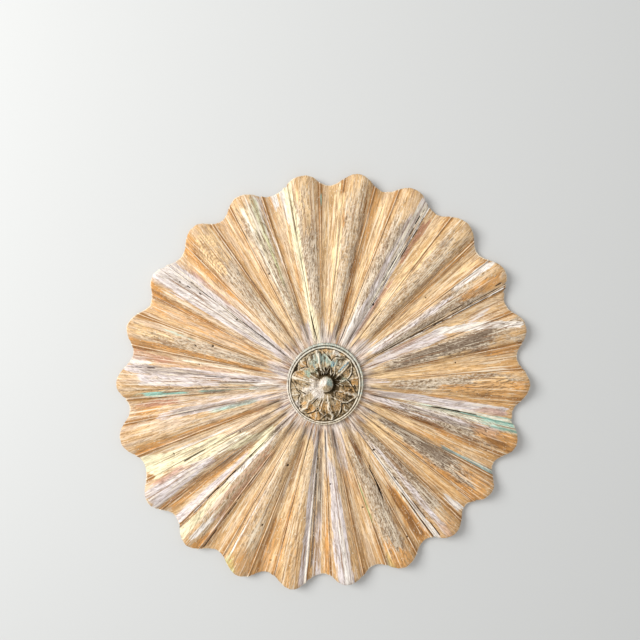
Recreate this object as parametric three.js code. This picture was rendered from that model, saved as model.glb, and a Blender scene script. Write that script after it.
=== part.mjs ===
// Sunburst wall medallion: a carved wooden disc with a scalloped rim, made of nine wedge-shaped
// staves, with a separate carved rosette applied over the middle.
// Units are millimetres, +Z is up, the carved face looks along -Y and the flat back lies on y = 0.
// The origin is on the back of the top stave, straight above the middle, where the medallion hangs.
// Angles are degrees clockwise from the top, as seen from the front.

import * as THREE from 'three';

// Hanging point
const HANG_ABOVE_MIDDLE = 150;

// Rim: the lobe tips lie on a slightly oval line, set a little high on the rosette
const RIM_LONG_RADIUS = 308.6;
const RIM_SHORT_RADIUS = 290.8;
const RIM_LONG_AXIS = 42.5;
const RIM_LIFT = 2.7;
const LOBE_DEPTH = 16;
const LOBE_SHARE = 0.55;

// Hand-spaced lobes, the angle of each tip
const LOBE_ANGLES = [
  10.4, 25.9, 42.4, 57.8, 74.3, 90.4, 107.7, 123.6, 139.3, 156.1, 173.2,
  190.0, 205.8, 221.4, 236.4, 253.7, 269.9, 285.9, 301.8, 320.1, 336.5, 354.4,
];

// Joints between the staves, the first being the left side of the top stave
const JOINT_ANGLES = [349.9, 31.0, 62.0, 102.3, 143.6, 184.9, 224.6, 267.8, 307.1];
const JOINT_GAP = 0.3;

// Section across one lobe, as shares of the way from a lobe's crest to the bottom of a flute
const REED_EDGE = 0.53;
const FILLET_CREST = 0.575;
const FLUTE_EDGE = 0.62;
const SECTION_STEPS = [0, 0.2, 0.38, REED_EDGE, FILLET_CREST, FLUTE_EDGE, 0.74, 0.87];

// Heights above the back
const HUB_HEIGHT = 23.5;
const CREST_AT_HUB = 25.5;
const CREST_AT_RIM = 19.5;
const FLUTE_AT_HUB = 21.5;
const FLUTE_AT_RIM = 6.5;
const REED_RISE_AT_HUB = 2.1;
const REED_RISE_AT_RIM = 7;
const QUIRK_DEPTH = 1.3;
const FILLET_RISE = 0.5;
const FILLET_AT_HUB = 0.35;

// Places along the radius, and the rows of corners there and inside the rim
const HUB_FLAT_RADIUS = 60;
const FLUTES_START = 62;
const FLUTES_FULL = 82;
const RIM_ROUND = 13;
const INNER_ROWS = [HUB_FLAT_RADIUS, 70, FLUTES_FULL, 150];
const RIM_ROWS = [RIM_ROUND, 4, 0];
const NARROWEST_COLUMN = 0.25;
const RIM_DROP_SHARE = 0.28;
const BACK_BEVEL = 4;
const BACK_BEVEL_HEIGHT = 2.5;

// Rosette, an oval boss on the flat round the middle
const ROSETTE_LONG_RADIUS = 57;
const ROSETTE_SHORT_RADIUS = 53.2;
const ROSETTE_LONG_AXIS = 9.4;
const ROSETTE_RIGHT = 1.7;
const ROSETTE_DOWN = 0.7;
const PETAL_COUNT = 6;
const FIRST_PETAL = 45;
const HALF_PITCH = 180 / PETAL_COUNT;

// Rosette heights above the flat, and places along its radius as shares of it
const KNOB_SHARE = 0.2;
const KNOB_TOP = 20;
const RECESS_HEIGHT = 7.5;
const PETAL_START = 0.3;
const PETAL_FOOT_HEIGHT = 14;
const PETAL_TIP_HEIGHT = 7;
const PETAL_FALL = 2.8;
const GROUND_INNER = 2.5;
const GROUND_OUTER = 1.5;
const GOUGE_DEPTH = 5;
const GOUGE_FULL = 0.34;
const GOUGE_END = 0.56;
const PETALS_PART = 0.62;
const PETAL_POINT = 0.8;
const FIELD_SHARE = 0.915;
const LEAF_HALF_WIDTH = 13;
const LEAF_HEIGHT = 5.6;
const LEAF_FALL = 1.6;
const EDGE_WIDTH = 1.2;
const CARVED_SHARES = [0.07, 0.14, 0.18, 0.2, 0.25, 0.33, 0.42, 0.5, 0.59, 0.66, 0.74, 0.82, 0.89];
const BEAD_PROFILE = [[0.905, 4.4], [0.93, 6.2], [0.953, 4.9], [0.978, 6], [1, 4.2]];

const RAD = Math.PI / 180;

function smooth(low, high, value) {
  const t = Math.min(Math.max((value - low) / (high - low), 0), 1);
  return t * t * (3 - 2 * t);
}

function blend(from, to, share) {
  return from + (to - from) * share;
}

// Signed turn from one angle to another, in degrees between -180 and 180.
function turn(from, to) {
  return ((to - from + 540) % 360) - 180;
}

function ovalRadius(angle, long, short, axis) {
  const along = Math.cos((angle - axis) * RAD) / long;
  const across = Math.sin((angle - axis) * RAD) / short;
  return 1 / Math.hypot(along, across);
}

// Where an angle falls in its lobe: 0 on the crest of a lobe and 1 at the bottom of a flute.
function lobeShare(angle) {
  const count = LOBE_ANGLES.length;
  for (let i = 0; i < count; i++) {
    const gap = turn(LOBE_ANGLES[i], LOBE_ANGLES[(i + 1) % count]);
    const past = turn(LOBE_ANGLES[i], angle);
    if (past >= 0 && past < gap) {
      return 1 - Math.abs(1 - (2 * past) / gap);
    }
  }
  return 0;
}

// The rim: a convex arc over each lobe meets a concave arc in each notch without a kink.
function rimRadius(angle) {
  const share = lobeShare(angle);
  const oval = ovalRadius(angle, RIM_LONG_RADIUS, RIM_SHORT_RADIUS, RIM_LONG_AXIS);
  const tips = oval + RIM_LIFT * Math.cos(angle * RAD);
  const cut = share <= LOBE_SHARE
    ? (share * share) / LOBE_SHARE
    : 1 - ((1 - share) * (1 - share)) / (1 - LOBE_SHARE);
  return tips - LOBE_DEPTH * cut;
}

// Section across a lobe: a rounded reed, a sharp quirk, a thin fillet, then a hollow flute.
function sectionHeight(share, out) {
  const crest = blend(CREST_AT_HUB, CREST_AT_RIM, out);
  const flute = blend(FLUTE_AT_HUB, FLUTE_AT_RIM, out);
  const shoulder = crest - blend(REED_RISE_AT_HUB, REED_RISE_AT_RIM, out);
  const fine = blend(FILLET_AT_HUB, 1, out);
  if (share <= REED_EDGE) {
    const across = share / REED_EDGE;
    return blend(crest, shoulder - QUIRK_DEPTH * fine, across * across);
  }
  if (share <= FILLET_CREST) {
    const across = (share - REED_EDGE) / (FILLET_CREST - REED_EDGE);
    return shoulder + fine * blend(-QUIRK_DEPTH, FILLET_RISE, across);
  }
  if (share <= FLUTE_EDGE) {
    const across = (share - FILLET_CREST) / (FLUTE_EDGE - FILLET_CREST);
    return shoulder + fine * blend(FILLET_RISE, -QUIRK_DEPTH, across);
  }
  const across = (1 - share) / (1 - FLUTE_EDGE);
  return blend(flute, shoulder - QUIRK_DEPTH * fine, across * across);
}

// Height of the carved face: flat round the middle, fluted outside it, and rounded off at the rim.
function fieldHeight(angle, radius) {
  const rim = rimRadius(angle);
  const out = Math.max((radius - FLUTES_START) / (rim - FLUTES_START), 0);
  const fluted = sectionHeight(lobeShare(angle), out);
  const height = blend(HUB_HEIGHT, fluted, smooth(FLUTES_START, FLUTES_FULL, radius));
  const near = Math.max(1 - (rim - radius) / RIM_ROUND, 0);
  const drop = 1 - Math.sqrt(1 - Math.min(near, 1) ** 2);
  return height * (1 - RIM_DROP_SHARE * drop);
}

// A solid from its corner points and triangles, wound so that the faces look outwards.
function solid(points, triangles) {
  const geometry = new THREE.BufferGeometry();
  geometry.setAttribute('position', new THREE.Float32BufferAttribute(points.flat(), 3));
  geometry.setIndex(triangles.flat());
  geometry.computeVertexNormals();
  return geometry;
}

function polarPoint(angle, radius, height) {
  return [radius * Math.sin(angle * RAD), -height, radius * Math.cos(angle * RAD)];
}

// Angles of a stave's columns: every section step of every lobe between its two joints.
function staveAngles(start, end) {
  const span = turn(start, end);
  const inside = [];
  const count = LOBE_ANGLES.length;
  for (let i = 0; i < count; i++) {
    const gap = turn(LOBE_ANGLES[i], LOBE_ANGLES[(i + 1) % count]);
    const steps = [...SECTION_STEPS, 1, ...SECTION_STEPS.slice(1).map((s) => 2 - s)];
    for (const step of steps) {
      const past = turn(start, LOBE_ANGLES[i] + (step * gap) / 2);
      if (past > NARROWEST_COLUMN && past < span - NARROWEST_COLUMN) {
        inside.push(past);
      }
    }
  }
  inside.sort((a, b) => a - b);
  return [0, ...inside, span].map((past) => start + past);
}

// Radii of a stave's rows on one column, from the flat middle to the rim.
function rowRadii(angle) {
  const rim = rimRadius(angle);
  return [...INNER_ROWS, ...RIM_ROWS.map((inset) => rim - inset)];
}

// One stave: carved face, rim wall, bevel, flat back and two plain joint faces.
function staveGeometry(start, end) {
  const angles = staveAngles(start, end);
  const columns = angles.length;
  const points = [];
  const triangles = [];
  const middle = start + turn(start, end) / 2;
  const tipRadius = JOINT_GAP / 2 / Math.sin((turn(start, end) / 2) * RAD);

  // Keeps the two outer columns half a gap away from the joint.
  const columnPoint = (column, radius, height) => {
    const side = column === 0 ? 1 : column === columns - 1 ? -1 : 0;
    const shift = (side * Math.asin(JOINT_GAP / 2 / radius)) / RAD;
    return polarPoint(angles[column] + shift, radius, height);
  };

  const rows = rowRadii(0).length;
  for (let column = 0; column < columns; column++) {
    const angle = angles[column];
    for (const radius of rowRadii(angle)) {
      points.push(columnPoint(column, radius, fieldHeight(angle, radius)));
    }
    const rim = rimRadius(angle);
    points.push(columnPoint(column, rim, BACK_BEVEL_HEIGHT));
    points.push(columnPoint(column, rim - BACK_BEVEL, 0));
  }
  const chain = rows + 2;
  const tipFront = points.push(polarPoint(middle, tipRadius, HUB_HEIGHT)) - 1;
  const tipBack = points.push(polarPoint(middle, tipRadius, 0)) - 1;

  for (let column = 0; column < columns - 1; column++) {
    const here = column * chain;
    const next = here + chain;
    for (let row = 0; row < chain - 1; row++) {
      triangles.push([here + row, next + row + 1, here + row + 1]);
      triangles.push([here + row, next + row, next + row + 1]);
    }
    triangles.push([tipFront, next, here]);
    triangles.push([tipBack, here + chain - 1, next + chain - 1]);
  }

  // Joint faces: a fan from the back corner under the rim.
  for (const [first, flip] of [[0, false], [(columns - 1) * chain, true]]) {
    const corner = first + chain - 1;
    const edge = [tipBack, tipFront];
    for (let row = 0; row < chain - 1; row++) {
      edge.push(first + row);
    }
    for (let i = 0; i < edge.length - 1; i++) {
      const face = [corner, edge[i], edge[i + 1]];
      triangles.push(flip ? face.reverse() : face);
    }
  }
  return solid(points, triangles);
}

// Half-width of a petal, in degrees: neighbours touch as far out as PETALS_PART, then draw to a point.
function petalHalfWidth(share) {
  const along = (FIELD_SHARE - share) / (FIELD_SHARE - PETALS_PART);
  return HALF_PITCH * Math.min(Math.max(along, 0), 1) ** PETAL_POINT;
}

// Half-width of the lower leaf between two petals, in degrees.
function leafHalfWidth(share) {
  const along = Math.min(Math.max((share - PETALS_PART) / (FIELD_SHARE - PETALS_PART), 0), 1);
  return LEAF_HALF_WIDTH * Math.sin(Math.PI * along);
}

// Height of the rosette above the flat, by share of its radius and degrees from a petal's ridge. A
// round knob stands in a recess. Each petal falls from its ridge to its edges and has a gouged
// hollow either side of the ridge near the knob. Leaves fill the gaps between the petals' tips.
function rosetteHeight(share, fromRidge) {
  if (share <= KNOB_SHARE) {
    const across = share / KNOB_SHARE;
    return blend(RECESS_HEIGHT, KNOB_TOP, Math.sqrt(1 - across * across));
  }
  if (fromRidge <= petalHalfWidth(share)) {
    const ridge = blend(PETAL_TIP_HEIGHT, PETAL_FOOT_HEIGHT, smooth(FIELD_SHARE, PETAL_START, share));
    const hollow = GOUGE_DEPTH * (1 - smooth(GOUGE_FULL, GOUGE_END, share));
    const gouge = hollow * Math.sin((Math.PI * fromRidge) / HALF_PITCH) ** 2;
    const top = ridge - PETAL_FALL * (fromRidge / petalHalfWidth(share)) - gouge;
    return blend(RECESS_HEIGHT, top, smooth(KNOB_SHARE, PETAL_START, share));
  }
  const fromLeaf = HALF_PITCH - fromRidge;
  if (fromLeaf <= leafHalfWidth(share)) {
    return LEAF_HEIGHT - (LEAF_FALL * fromLeaf) / LEAF_HALF_WIDTH;
  }
  return blend(GROUND_INNER, GROUND_OUTER, smooth(PETALS_PART, FIELD_SHARE, share));
}

// Columns from a petal's ridge to the middle of the next leaf, in degrees. Past the petals' touching
// stretch they close up on the edges of the petal and of the leaf, so that both stand up cleanly.
function columnOffsets(share) {
  const petal = petalHalfWidth(share);
  if (petal >= HALF_PITCH - 1 || share > FIELD_SHARE) {
    return [0, 5, 10, 15, 20, 25];
  }
  const foot = petal + EDGE_WIDTH;
  const leafEdge = Math.max(HALF_PITCH - leafHalfWidth(share), foot + 2 * EDGE_WIDTH);
  return [0, petal / 2, petal, foot, leafEdge - EDGE_WIDTH, leafEdge];
}

// The same columns as angles round the whole rosette, each with its distance from a ridge.
function rosetteColumns(share) {
  const offsets = columnOffsets(share);
  const mirrored = [HALF_PITCH, ...offsets.slice(1).reverse()];
  const columns = [];
  for (let petal = 0; petal < PETAL_COUNT; petal++) {
    const ridge = FIRST_PETAL + petal * 2 * HALF_PITCH;
    offsets.forEach((off) => columns.push([ridge + off, off]));
    mirrored.forEach((off) => columns.push([ridge + 2 * HALF_PITCH - off, off]));
  }
  return columns;
}

// The rosette: knob, petals, leaves and a double bead, down to a plain flat underside.
function rosetteGeometry() {
  const points = [];
  const triangles = [];
  const rows = [
    ...CARVED_SHARES.map((share) => [share, null]),
    ...BEAD_PROFILE,
    [1, JOINT_GAP],
  ];
  for (const [share, level] of rows) {
    for (const [angle, off] of rosetteColumns(share)) {
      const rim = ovalRadius(angle, ROSETTE_LONG_RADIUS, ROSETTE_SHORT_RADIUS, ROSETTE_LONG_AXIS);
      const height = level ?? rosetteHeight(share, off);
      points.push(polarPoint(angle, rim * share, HUB_HEIGHT + height));
    }
  }
  const count = points.length / rows.length;
  const top = points.push([0, -(HUB_HEIGHT + KNOB_TOP), 0]) - 1;
  const bottom = points.push([0, -(HUB_HEIGHT + JOINT_GAP), 0]) - 1;
  const step = (from, to) => Math.abs(points[from][1] - points[to][1]);
  for (let column = 0; column < count; column++) {
    const after = (column + 1) % count;
    for (let row = 0; row < rows.length - 1; row++) {
      const [a, b] = [row * count + column, (row + 1) * count + column];
      const [c, d] = [(row + 1) * count + after, row * count + after];
      // The crease follows whichever diagonal is nearer level, so leaf edges stay clean.
      if (step(a, c) < step(b, d)) {
        triangles.push([a, c, b], [a, d, c]);
      } else {
        triangles.push([a, d, b], [d, c, b]);
      }
    }
    const last = (rows.length - 1) * count;
    triangles.push([top, after, column], [bottom, last + column, last + after]);
  }
  const geometry = solid(points, triangles);
  geometry.translate(ROSETTE_RIGHT, 0, -ROSETTE_DOWN);
  return geometry;
}

const oldWood = new THREE.MeshStandardMaterial({ color: 0xd1b082, roughness: 0.75, metalness: 0 });
const rosetteWood = new THREE.MeshStandardMaterial({ color: 0xb9a27c, roughness: 0.7, metalness: 0 });

const medallion = new THREE.Group();
medallion.position.z = -HANG_ABOVE_MIDDLE;

JOINT_ANGLES.forEach((start, i) => {
  const end = JOINT_ANGLES[(i + 1) % JOINT_ANGLES.length];
  const stave = new THREE.Mesh(staveGeometry(start, end), oldWood.clone());
  stave.name = `stave_${i + 1}`;
  medallion.add(stave);
});

const rosette = new THREE.Mesh(rosetteGeometry(), rosetteWood);
rosette.name = 'rosette';
medallion.add(rosette);

export default medallion;
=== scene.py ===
"""Sunburst wall medallion: nine fluted staves of old painted wood and a carved rosette.

Angles are degrees clockwise from the top, seen from the front. Sizes inside the shape functions are
millimetres from the middle of the disc, and heights are millimetres in front of the flat back.
"""

import math

import bpy
import numpy as np
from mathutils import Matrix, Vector


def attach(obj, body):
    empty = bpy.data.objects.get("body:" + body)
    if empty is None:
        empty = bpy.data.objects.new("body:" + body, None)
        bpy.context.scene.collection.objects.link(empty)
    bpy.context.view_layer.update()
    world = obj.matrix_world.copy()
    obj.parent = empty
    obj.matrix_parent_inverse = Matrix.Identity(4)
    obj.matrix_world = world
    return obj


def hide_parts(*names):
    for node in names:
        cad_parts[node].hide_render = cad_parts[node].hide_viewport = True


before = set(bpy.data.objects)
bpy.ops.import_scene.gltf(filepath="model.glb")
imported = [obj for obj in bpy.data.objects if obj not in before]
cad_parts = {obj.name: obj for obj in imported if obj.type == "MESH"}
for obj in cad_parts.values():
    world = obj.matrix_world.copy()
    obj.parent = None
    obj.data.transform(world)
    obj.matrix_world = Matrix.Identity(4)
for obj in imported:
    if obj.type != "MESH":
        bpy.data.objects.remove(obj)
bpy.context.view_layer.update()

bl_info = {
    "name": "Sunburst Wall Medallion",
    "version": (1, 0, 0),
    "blender": (4, 5, 0),
    "location": "3D View > Sidebar > Medallion",
    "description": "Builds the fluted staves, the carved rosette and a plain studio stage",
    "category": "Object",
}

# The middle of the disc lies 150 mm under the hanging point.
MIDDLE_Z = -0.150

# Hand-spaced lobes (the angle of each tip) and the joints between the staves.
LOBES = np.array([
    10.4, 25.9, 42.4, 57.8, 74.3, 90.4, 107.7, 123.6, 139.3, 156.1, 173.2, 190, 205.8, 221.4, 236.4, 253.7,
    269.9, 285.9, 301.8, 320.1, 336.5, 354.4,
])
JOINTS = [349.9, 31, 62, 102.3, 143.6, 184.9, 224.6, 267.8, 307.1]

# Section across a lobe, as shares of the way from its crest to the bottom of a flute.
REED_EDGE, FILLET_CREST, FLUTE_EDGE = 0.53, 0.575, 0.62

# Radii where the flat middle ends, where the flutes begin and where they reach their full depth.
HUB_EDGE, FLUTES_START, FLUTES_FULL = 57, 62, 72

# Width of the face's rounding at the rim, and width and height of the bevel round the back.
RIM_ROUND, BEVEL_WIDTH, BEVEL_HEIGHT = 13, 4, 2.5

# The rosette's mean radius, and the shares of it where the knob ends and the beads begin.
ROSETTE_RADIUS, KNOB_EDGE, BEADS_START = 55, 0.2, 0.905

# How far the rosette, and its knob once more, sit right of and above the middle, in metres.
ROSETTE_SHIFT, KNOB_SHIFT = np.array([0.0017, 0, -0.0007]), np.array([0.0020, 0, 0.0012])

# Radius at the outer edge of the flat map.
MAP_RADIUS = 320

# How grey each lobe's crest has weathered, in the order of the lobes.
GREYED = np.array([
    0.55, 0.75, 0.55, 0.75, 0.95, 0.75, 0.85, 1, 0.8, 0.75, 0.15, 0.2, 0.45, 0.55, 0.35, 0.25, 0.3, 0.6,
    0.2, 0.65, 0.7, 0.7,
])

# How much thin lime wash lies on each lobe, and how brown the wood is towards its rim.
LIMED = np.array([
    0.35, 0.45, 0.35, 0.5, 0.5, 0.15, 0.45, 0.2, 0.3, 0.25, 0.6, 0.4, 0.3, 0.45, 0.6, 0.7, 0.75, 0.6, 0.75,
    0.6, 0.55, 0.45,
])
BROWNED = np.array([
    0.25, 0.25, 0.3, 0.35, 0.45, 0.8, 0.8, 0.85, 0.8, 0.7, 0.45, 0.45, 0.55, 0.5, 0.2, 0.45, 0.3, 0.5, 0.55,
    0.55, 0.3, 0.1,
])

# How light each stave's wood is.
TONES = [1.06, 1.04, 1.06, 1, 1, 0.97, 0.95, 0.95, 1.05]

# How far each lobe of the rim leans back from its crest, in degrees.
RIM_LEAN = np.array([
    0.9, 0.75, 0.5, -0.55, -0.3, -0.3, -0.1, 0.55, 0.7, 0.6, 0.8, 1.8, 2, 1.45, 0.8, -0.9, -0.3, -0.8, -0.6,
    0.1, 1.4, 0.4,
])

# Old paint left on the staves. Each mark is a streak: angle at its inner and outer end, inner and
# outer radius, half-width in degrees at each end, and how thickly it covers.
PAINT_MARKS = {
    "honey": [
        (129, 128.4, 58, 98, 3, 2, 0.6), (117, 117, 58, 96, 2.4, 2, 0.55),
        (94.2, 94.2, 160, 266, 1.6, 2.2, 0.85), (90, 89.6, 216, 268, 1.8, 2.4, 0.75),
        (126, 126.2, 84, 142, 2, 1.6, 0.8), (78.4, 78, 166, 218, 1.4, 1.4, 0.7),
        (38, 38.2, 120, 270, 1.2, 1.8, 0.55), (318, 318.2, 214, 276, 2.6, 3, 0.75),
        (354, 354, 214, 276, 1.8, 2.2, 0.5), (286, 286.4, 224, 280, 2, 2.2, 0.5),
        (322.4, 322.6, 214, 276, 1.4, 1.8, 0.6), (5.6, 5.6, 120, 282, 1.2, 1.8, 0.55),
        (18.4, 18.6, 150, 282, 0.9, 1.6, 0.5), (50, 50.2, 130, 282, 1.2, 1.8, 0.45),
        (130, 130.2, 90, 130, 1.6, 1.4, 0.6), (114, 114, 132, 168, 1.2, 1.2, 0.6),
    ],
    "lilac": [
        (30, 29.3, 70, 306, 4, 1.3, 0.9), (57, 56, 80, 215, 3.4, 1, 0.6), (67, 67, 75, 190, 3.6, 2.6, 0.75),
        (99, 99.2, 72, 272, 2.6, 1.5, 0.85), (106.5, 106, 72, 215, 2.8, 1.8, 0.6),
        (140, 140.3, 130, 282, 1.2, 1, 0.65), (174.5, 173.2, 110, 296, 2.6, 2.6, 0.85),
        (182, 182.3, 190, 288, 1.6, 1.2, 0.65), (186.8, 186.2, 72, 296, 1.6, 1, 0.8),
        (227, 226.8, 150, 292, 0.8, 1.2, 0.9), (237, 235.5, 190, 304, 2.2, 3.4, 0.75),
        (258, 258.5, 72, 240, 3, 1.2, 0.6), (273.5, 274.5, 72, 290, 3.2, 1.3, 0.75),
        (306, 305.8, 66, 296, 5, 3.3, 1), (302, 302.6, 110, 290, 1.2, 1.6, 0.55),
        (143, 141, 80, 130, 2.6, 1.8, 0.45), (262, 262, 100, 215, 1.6, 1.2, 0.45),
        (48, 48, 64, 92, 9, 4, 0.55), (165, 166, 66, 128, 6, 3, 0.55), (290, 291, 62, 84, 6, 3, 0.6),
        (342, 342, 62, 92, 6, 3, 0.7), (270.4, 270.8, 150, 262, 1.6, 1.8, 0.7),
        (105, 105, 58, 96, 3, 2, 0.65), (87, 87, 58, 98, 3, 2.4, 0.55), (225, 225, 62, 96, 4, 2.4, 0.6),
        (106, 106.4, 222, 262, 1.4, 1.8, 0.7), (66.5, 66.6, 225, 262, 1.6, 1.8, 0.5),
        (338.5, 338.5, 225, 285, 1.8, 2, 0.5), (307, 306.6, 225, 292, 1.8, 2.2, 0.95),
    ],
    "white": [
        (305.6, 305.4, 84, 294, 2.6, 2.6, 0.6), (30.2, 29.6, 84, 300, 1.6, 1.3, 0.55),
        (177.8, 177.8, 90, 132, 1.3, 1.2, 0.6), (31.2, 31.1, 120, 300, 0.45, 0.3, 0.95),
        (26.4, 25, 60, 124, 4, 1.4, 0.9), (54.6, 54.2, 228, 298, 0.8, 1, 1),
        (54.2, 54, 80, 114, 1.6, 1.2, 0.8), (65.8, 73.6, 178, 298, 1.6, 0.9, 0.95),
        (62.6, 62.2, 100, 300, 0.3, 0.3, 0.8), (101, 101.4, 100, 276, 0.3, 0.3, 0.8),
        (103.6, 103.8, 95, 284, 0.4, 0.4, 0.9), (132.8, 132.6, 243, 272, 0.9, 0.8, 0.85),
        (143.9, 143.4, 118, 284, 0.8, 0.6, 1), (147.4, 146.4, 84, 178, 1.2, 0.8, 0.4),
        (145.2, 145.6, 222, 262, 0.6, 0.5, 0.9), (173.6, 172.6, 210, 296, 0.6, 0.8, 0.85),
        (185, 185.3, 95, 294, 0.5, 0.4, 0.95), (219.4, 220.6, 248, 292, 0.9, 1, 0.9),
        (223.8, 224, 100, 200, 1.6, 1, 0.95), (217, 216.6, 240, 294, 0.3, 0.3, 0.8),
        (277, 277, 256, 288, 1.2, 1.4, 0.65), (335.2, 335, 120, 272, 0.4, 0.35, 0.8),
        (341.2, 341.2, 150, 286, 0.3, 0.3, 0.6), (345.2, 345, 258, 288, 1, 1, 0.95),
        (347.6, 347.4, 236, 292, 0.5, 0.8, 0.85), (302.6, 302.4, 160, 240, 0.3, 0.4, 0.7),
        (208.4, 208.6, 150, 290, 0.3, 0.4, 0.6), (235, 238, 128, 196, 1.4, 0.8, 0.45),
        (268.5, 266.5, 72, 102, 5, 3.5, 0.6), (0, 0.5, 58, 90, 7, 3, 0.6),
        (177.5, 177.2, 60, 100, 2.4, 1.2, 0.6), (280, 279, 60, 90, 3, 1.6, 0.4),
        (244.5, 245.5, 150, 280, 0.4, 0.5, 0.9), (241.2, 242, 130, 230, 0.3, 0.4, 0.85),
        (225.8, 225.6, 215, 264, 0.8, 0.9, 0.8),
    ],
    "yellow": [
        (223.4, 223.4, 196, 302, 1, 1.2, 1), (227.6, 225.6, 98, 150, 3.4, 1.2, 1),
        (229, 237.5, 106, 160, 2.4, 3, 0.95), (237, 245.6, 140, 288, 3, 2.2, 1),
        (240.5, 244, 160, 286, 2.2, 3.2, 0.9), (352, 349.6, 62, 120, 5.5, 1.8, 0.9),
        (349.8, 349.4, 100, 292, 1.5, 1.3, 1), (348.6, 347.4, 66, 104, 2, 1, 0.5),
        (8, 4, 100, 290, 1, 1.6, 0.25), (337.5, 337, 110, 280, 2.4, 2.6, 0.35),
        (238, 238.2, 132, 168, 1.4, 1.6, 0.6),
    ],
    "teal": [
        (102.4, 102.7, 150, 292, 0.6, 1.6, 0.75), (102.6, 102.9, 212, 292, 1.2, 1.9, 1),
        (266.4, 266.3, 200, 256, 0.7, 0.8, 0.9), (266.5, 266.3, 100, 284, 0.5, 0.7, 0.45),
        (359.3, 359.2, 254, 270, 0.3, 0.3, 0.8), (255.6, 256, 100, 168, 1.8, 1, 0.4),
        (288.6, 288.6, 190, 240, 0.9, 0.9, 0.3),
    ],
    "cream": [
        (101.5, 101.7, 110, 290, 0.25, 0.35, 0.9), (103.3, 103.6, 140, 290, 0.35, 0.45, 0.85),
        (102.4, 102.7, 118, 236, 0.45, 0.3, 0.75), (30.6, 30.3, 130, 300, 0.5, 0.6, 0.75),
        (28.8, 28.4, 190, 292, 0.4, 0.5, 0.6), (145.4, 145, 130, 280, 0.3, 0.3, 0.8),
        (248.8, 249.4, 140, 250, 0.3, 0.4, 0.5), (279, 279.4, 110, 210, 0.5, 0.6, 0.6),
        (237.6, 237.4, 130, 178, 1.6, 1.4, 0.75),
    ],
    "verdigris": [(118.2, 117.8, 195, 286, 0.5, 0.6, 0.85), (160, 160.2, 250, 292, 0.5, 0.8, 0.4)],
    "green": [
        (160.6, 160.4, 150, 220, 0.3, 0.3, 0.6), (159.4, 159.6, 262, 292, 0.8, 1, 0.65),
        (207.5, 207, 286, 302, 1.6, 2.2, 0.6), (338.5, 338.8, 150, 290, 0.6, 0.8, 0.35),
    ],
    "orange": [
        (147.4, 147.2, 176, 270, 1.5, 2.3, 0.95), (92, 91.6, 160, 302, 2, 3, 0.59),
        (112.4, 112.4, 175, 240, 0.9, 1, 0.72), (107.2, 107.5, 222, 294, 1.4, 3, 0.68),
        (122.4, 122.6, 222, 286, 1.6, 2.8, 0.59), (126.4, 126.6, 212, 288, 1.2, 1.6, 0.6),
        (126.4, 126.6, 120, 282, 0.9, 0.7, 0.59), (96.4, 96.4, 150, 282, 0.9, 0.9, 0.55),
        (79.8, 80, 232, 286, 0.8, 0.9, 0.77), (158.6, 158.4, 240, 292, 1.6, 2, 0.59),
        (155, 155, 255, 294, 3, 3.2, 0.55), (178.8, 178.9, 192, 278, 0.9, 1.1, 0.77),
        (194.4, 194.5, 160, 284, 0.9, 0.9, 0.51), (198.2, 198.6, 205, 296, 1.8, 2.4, 0.55),
        (216, 218.5, 262, 302, 0.9, 1.1, 0.72), (229.8, 230.6, 135, 294, 1.5, 1.1, 0.68),
        (249, 250, 105, 292, 1.9, 1.2, 0.64), (261, 261.2, 238, 282, 1.1, 1.1, 0.72),
        (282.6, 282.8, 85, 288, 1.4, 0.9, 0.72), (294, 294.3, 84, 280, 2, 1.8, 0.47),
        (299.2, 299.6, 262, 292, 1.4, 1.4, 0.77), (316.8, 316.6, 262, 290, 1.4, 1.6, 0.72),
        (314.2, 314, 160, 284, 0.8, 1.4, 0.68), (16.5, 16.2, 84, 285, 1.2, 1.1, 0.51),
        (7, 7.2, 231, 246, 0.9, 0.9, 0.77), (116.6, 116.6, 135, 205, 0.9, 1, 0.51),
        (138.8, 139.5, 262, 292, 2.6, 2.6, 0.51), (165, 165.5, 130, 160, 2.6, 2.4, 0.51),
        (204, 205, 262, 300, 3, 3.4, 0.51), (189, 189.5, 240, 300, 1.6, 2.4, 0.38),
        (331, 331.2, 215, 290, 1.4, 1.2, 0.38), (343, 343.2, 100, 285, 1, 1.2, 0.42),
        (47.8, 47.6, 100, 285, 0.7, 0.6, 0.59), (58.6, 58.8, 230, 300, 1.4, 1.8, 0.64),
        (346.8, 346.6, 130, 175, 0.9, 0.8, 0.59), (297, 297.4, 100, 285, 0.9, 0.7, 0.59),
        (133.2, 133.4, 150, 225, 0.6, 0.7, 0.42), (326.8, 326.6, 200, 285, 1.4, 1.8, 0.38),
        (94, 94.2, 218, 264, 1.4, 1.8, 0.6),
    ],
    "rust": [
        (278.4, 278.6, 222, 288, 1.2, 1.7, 0.5), (32.6, 32.8, 208, 282, 0.8, 1, 0.75),
        (99.6, 99.7, 228, 268, 0.9, 1, 0.6), (64.6, 64.4, 108, 152, 1.2, 0.9, 0.55),
        (239.4, 239.2, 232, 276, 0.8, 0.9, 0.6), (263, 263, 215, 270, 0.9, 0.9, 0.7),
        (310.2, 310.3, 175, 262, 0.8, 0.7, 0.5), (277.4, 277.6, 130, 255, 1.4, 1, 0.45),
        (250, 250, 88, 106, 5, 4, 0.45), (33.8, 33.6, 80, 180, 1.4, 1, 0.55),
        (217.5, 218, 120, 250, 2.4, 1.4, 0.45), (221, 221.4, 110, 250, 1.2, 1.2, 0.4),
    ],
    # Umber streaks: brown stain near the hub and in hollows, and mostly painted shade along the side of each
    # reed that faces away from the light.
    "umber_stain_and_shade": [
        (198, 198, 84, 156, 1.5, 1.1, 0.55), (110, 110.2, 84, 176, 1.8, 1.3, 0.55),
        (18, 18, 84, 142, 1.6, 1.4, 0.45), (154, 154, 84, 142, 1.6, 1.2, 0.5),
        (240.5, 241.5, 120, 165, 0.5, 0.4, 0.5), (147.6, 147.4, 180, 266, 1, 1.6, 0.7),
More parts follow.
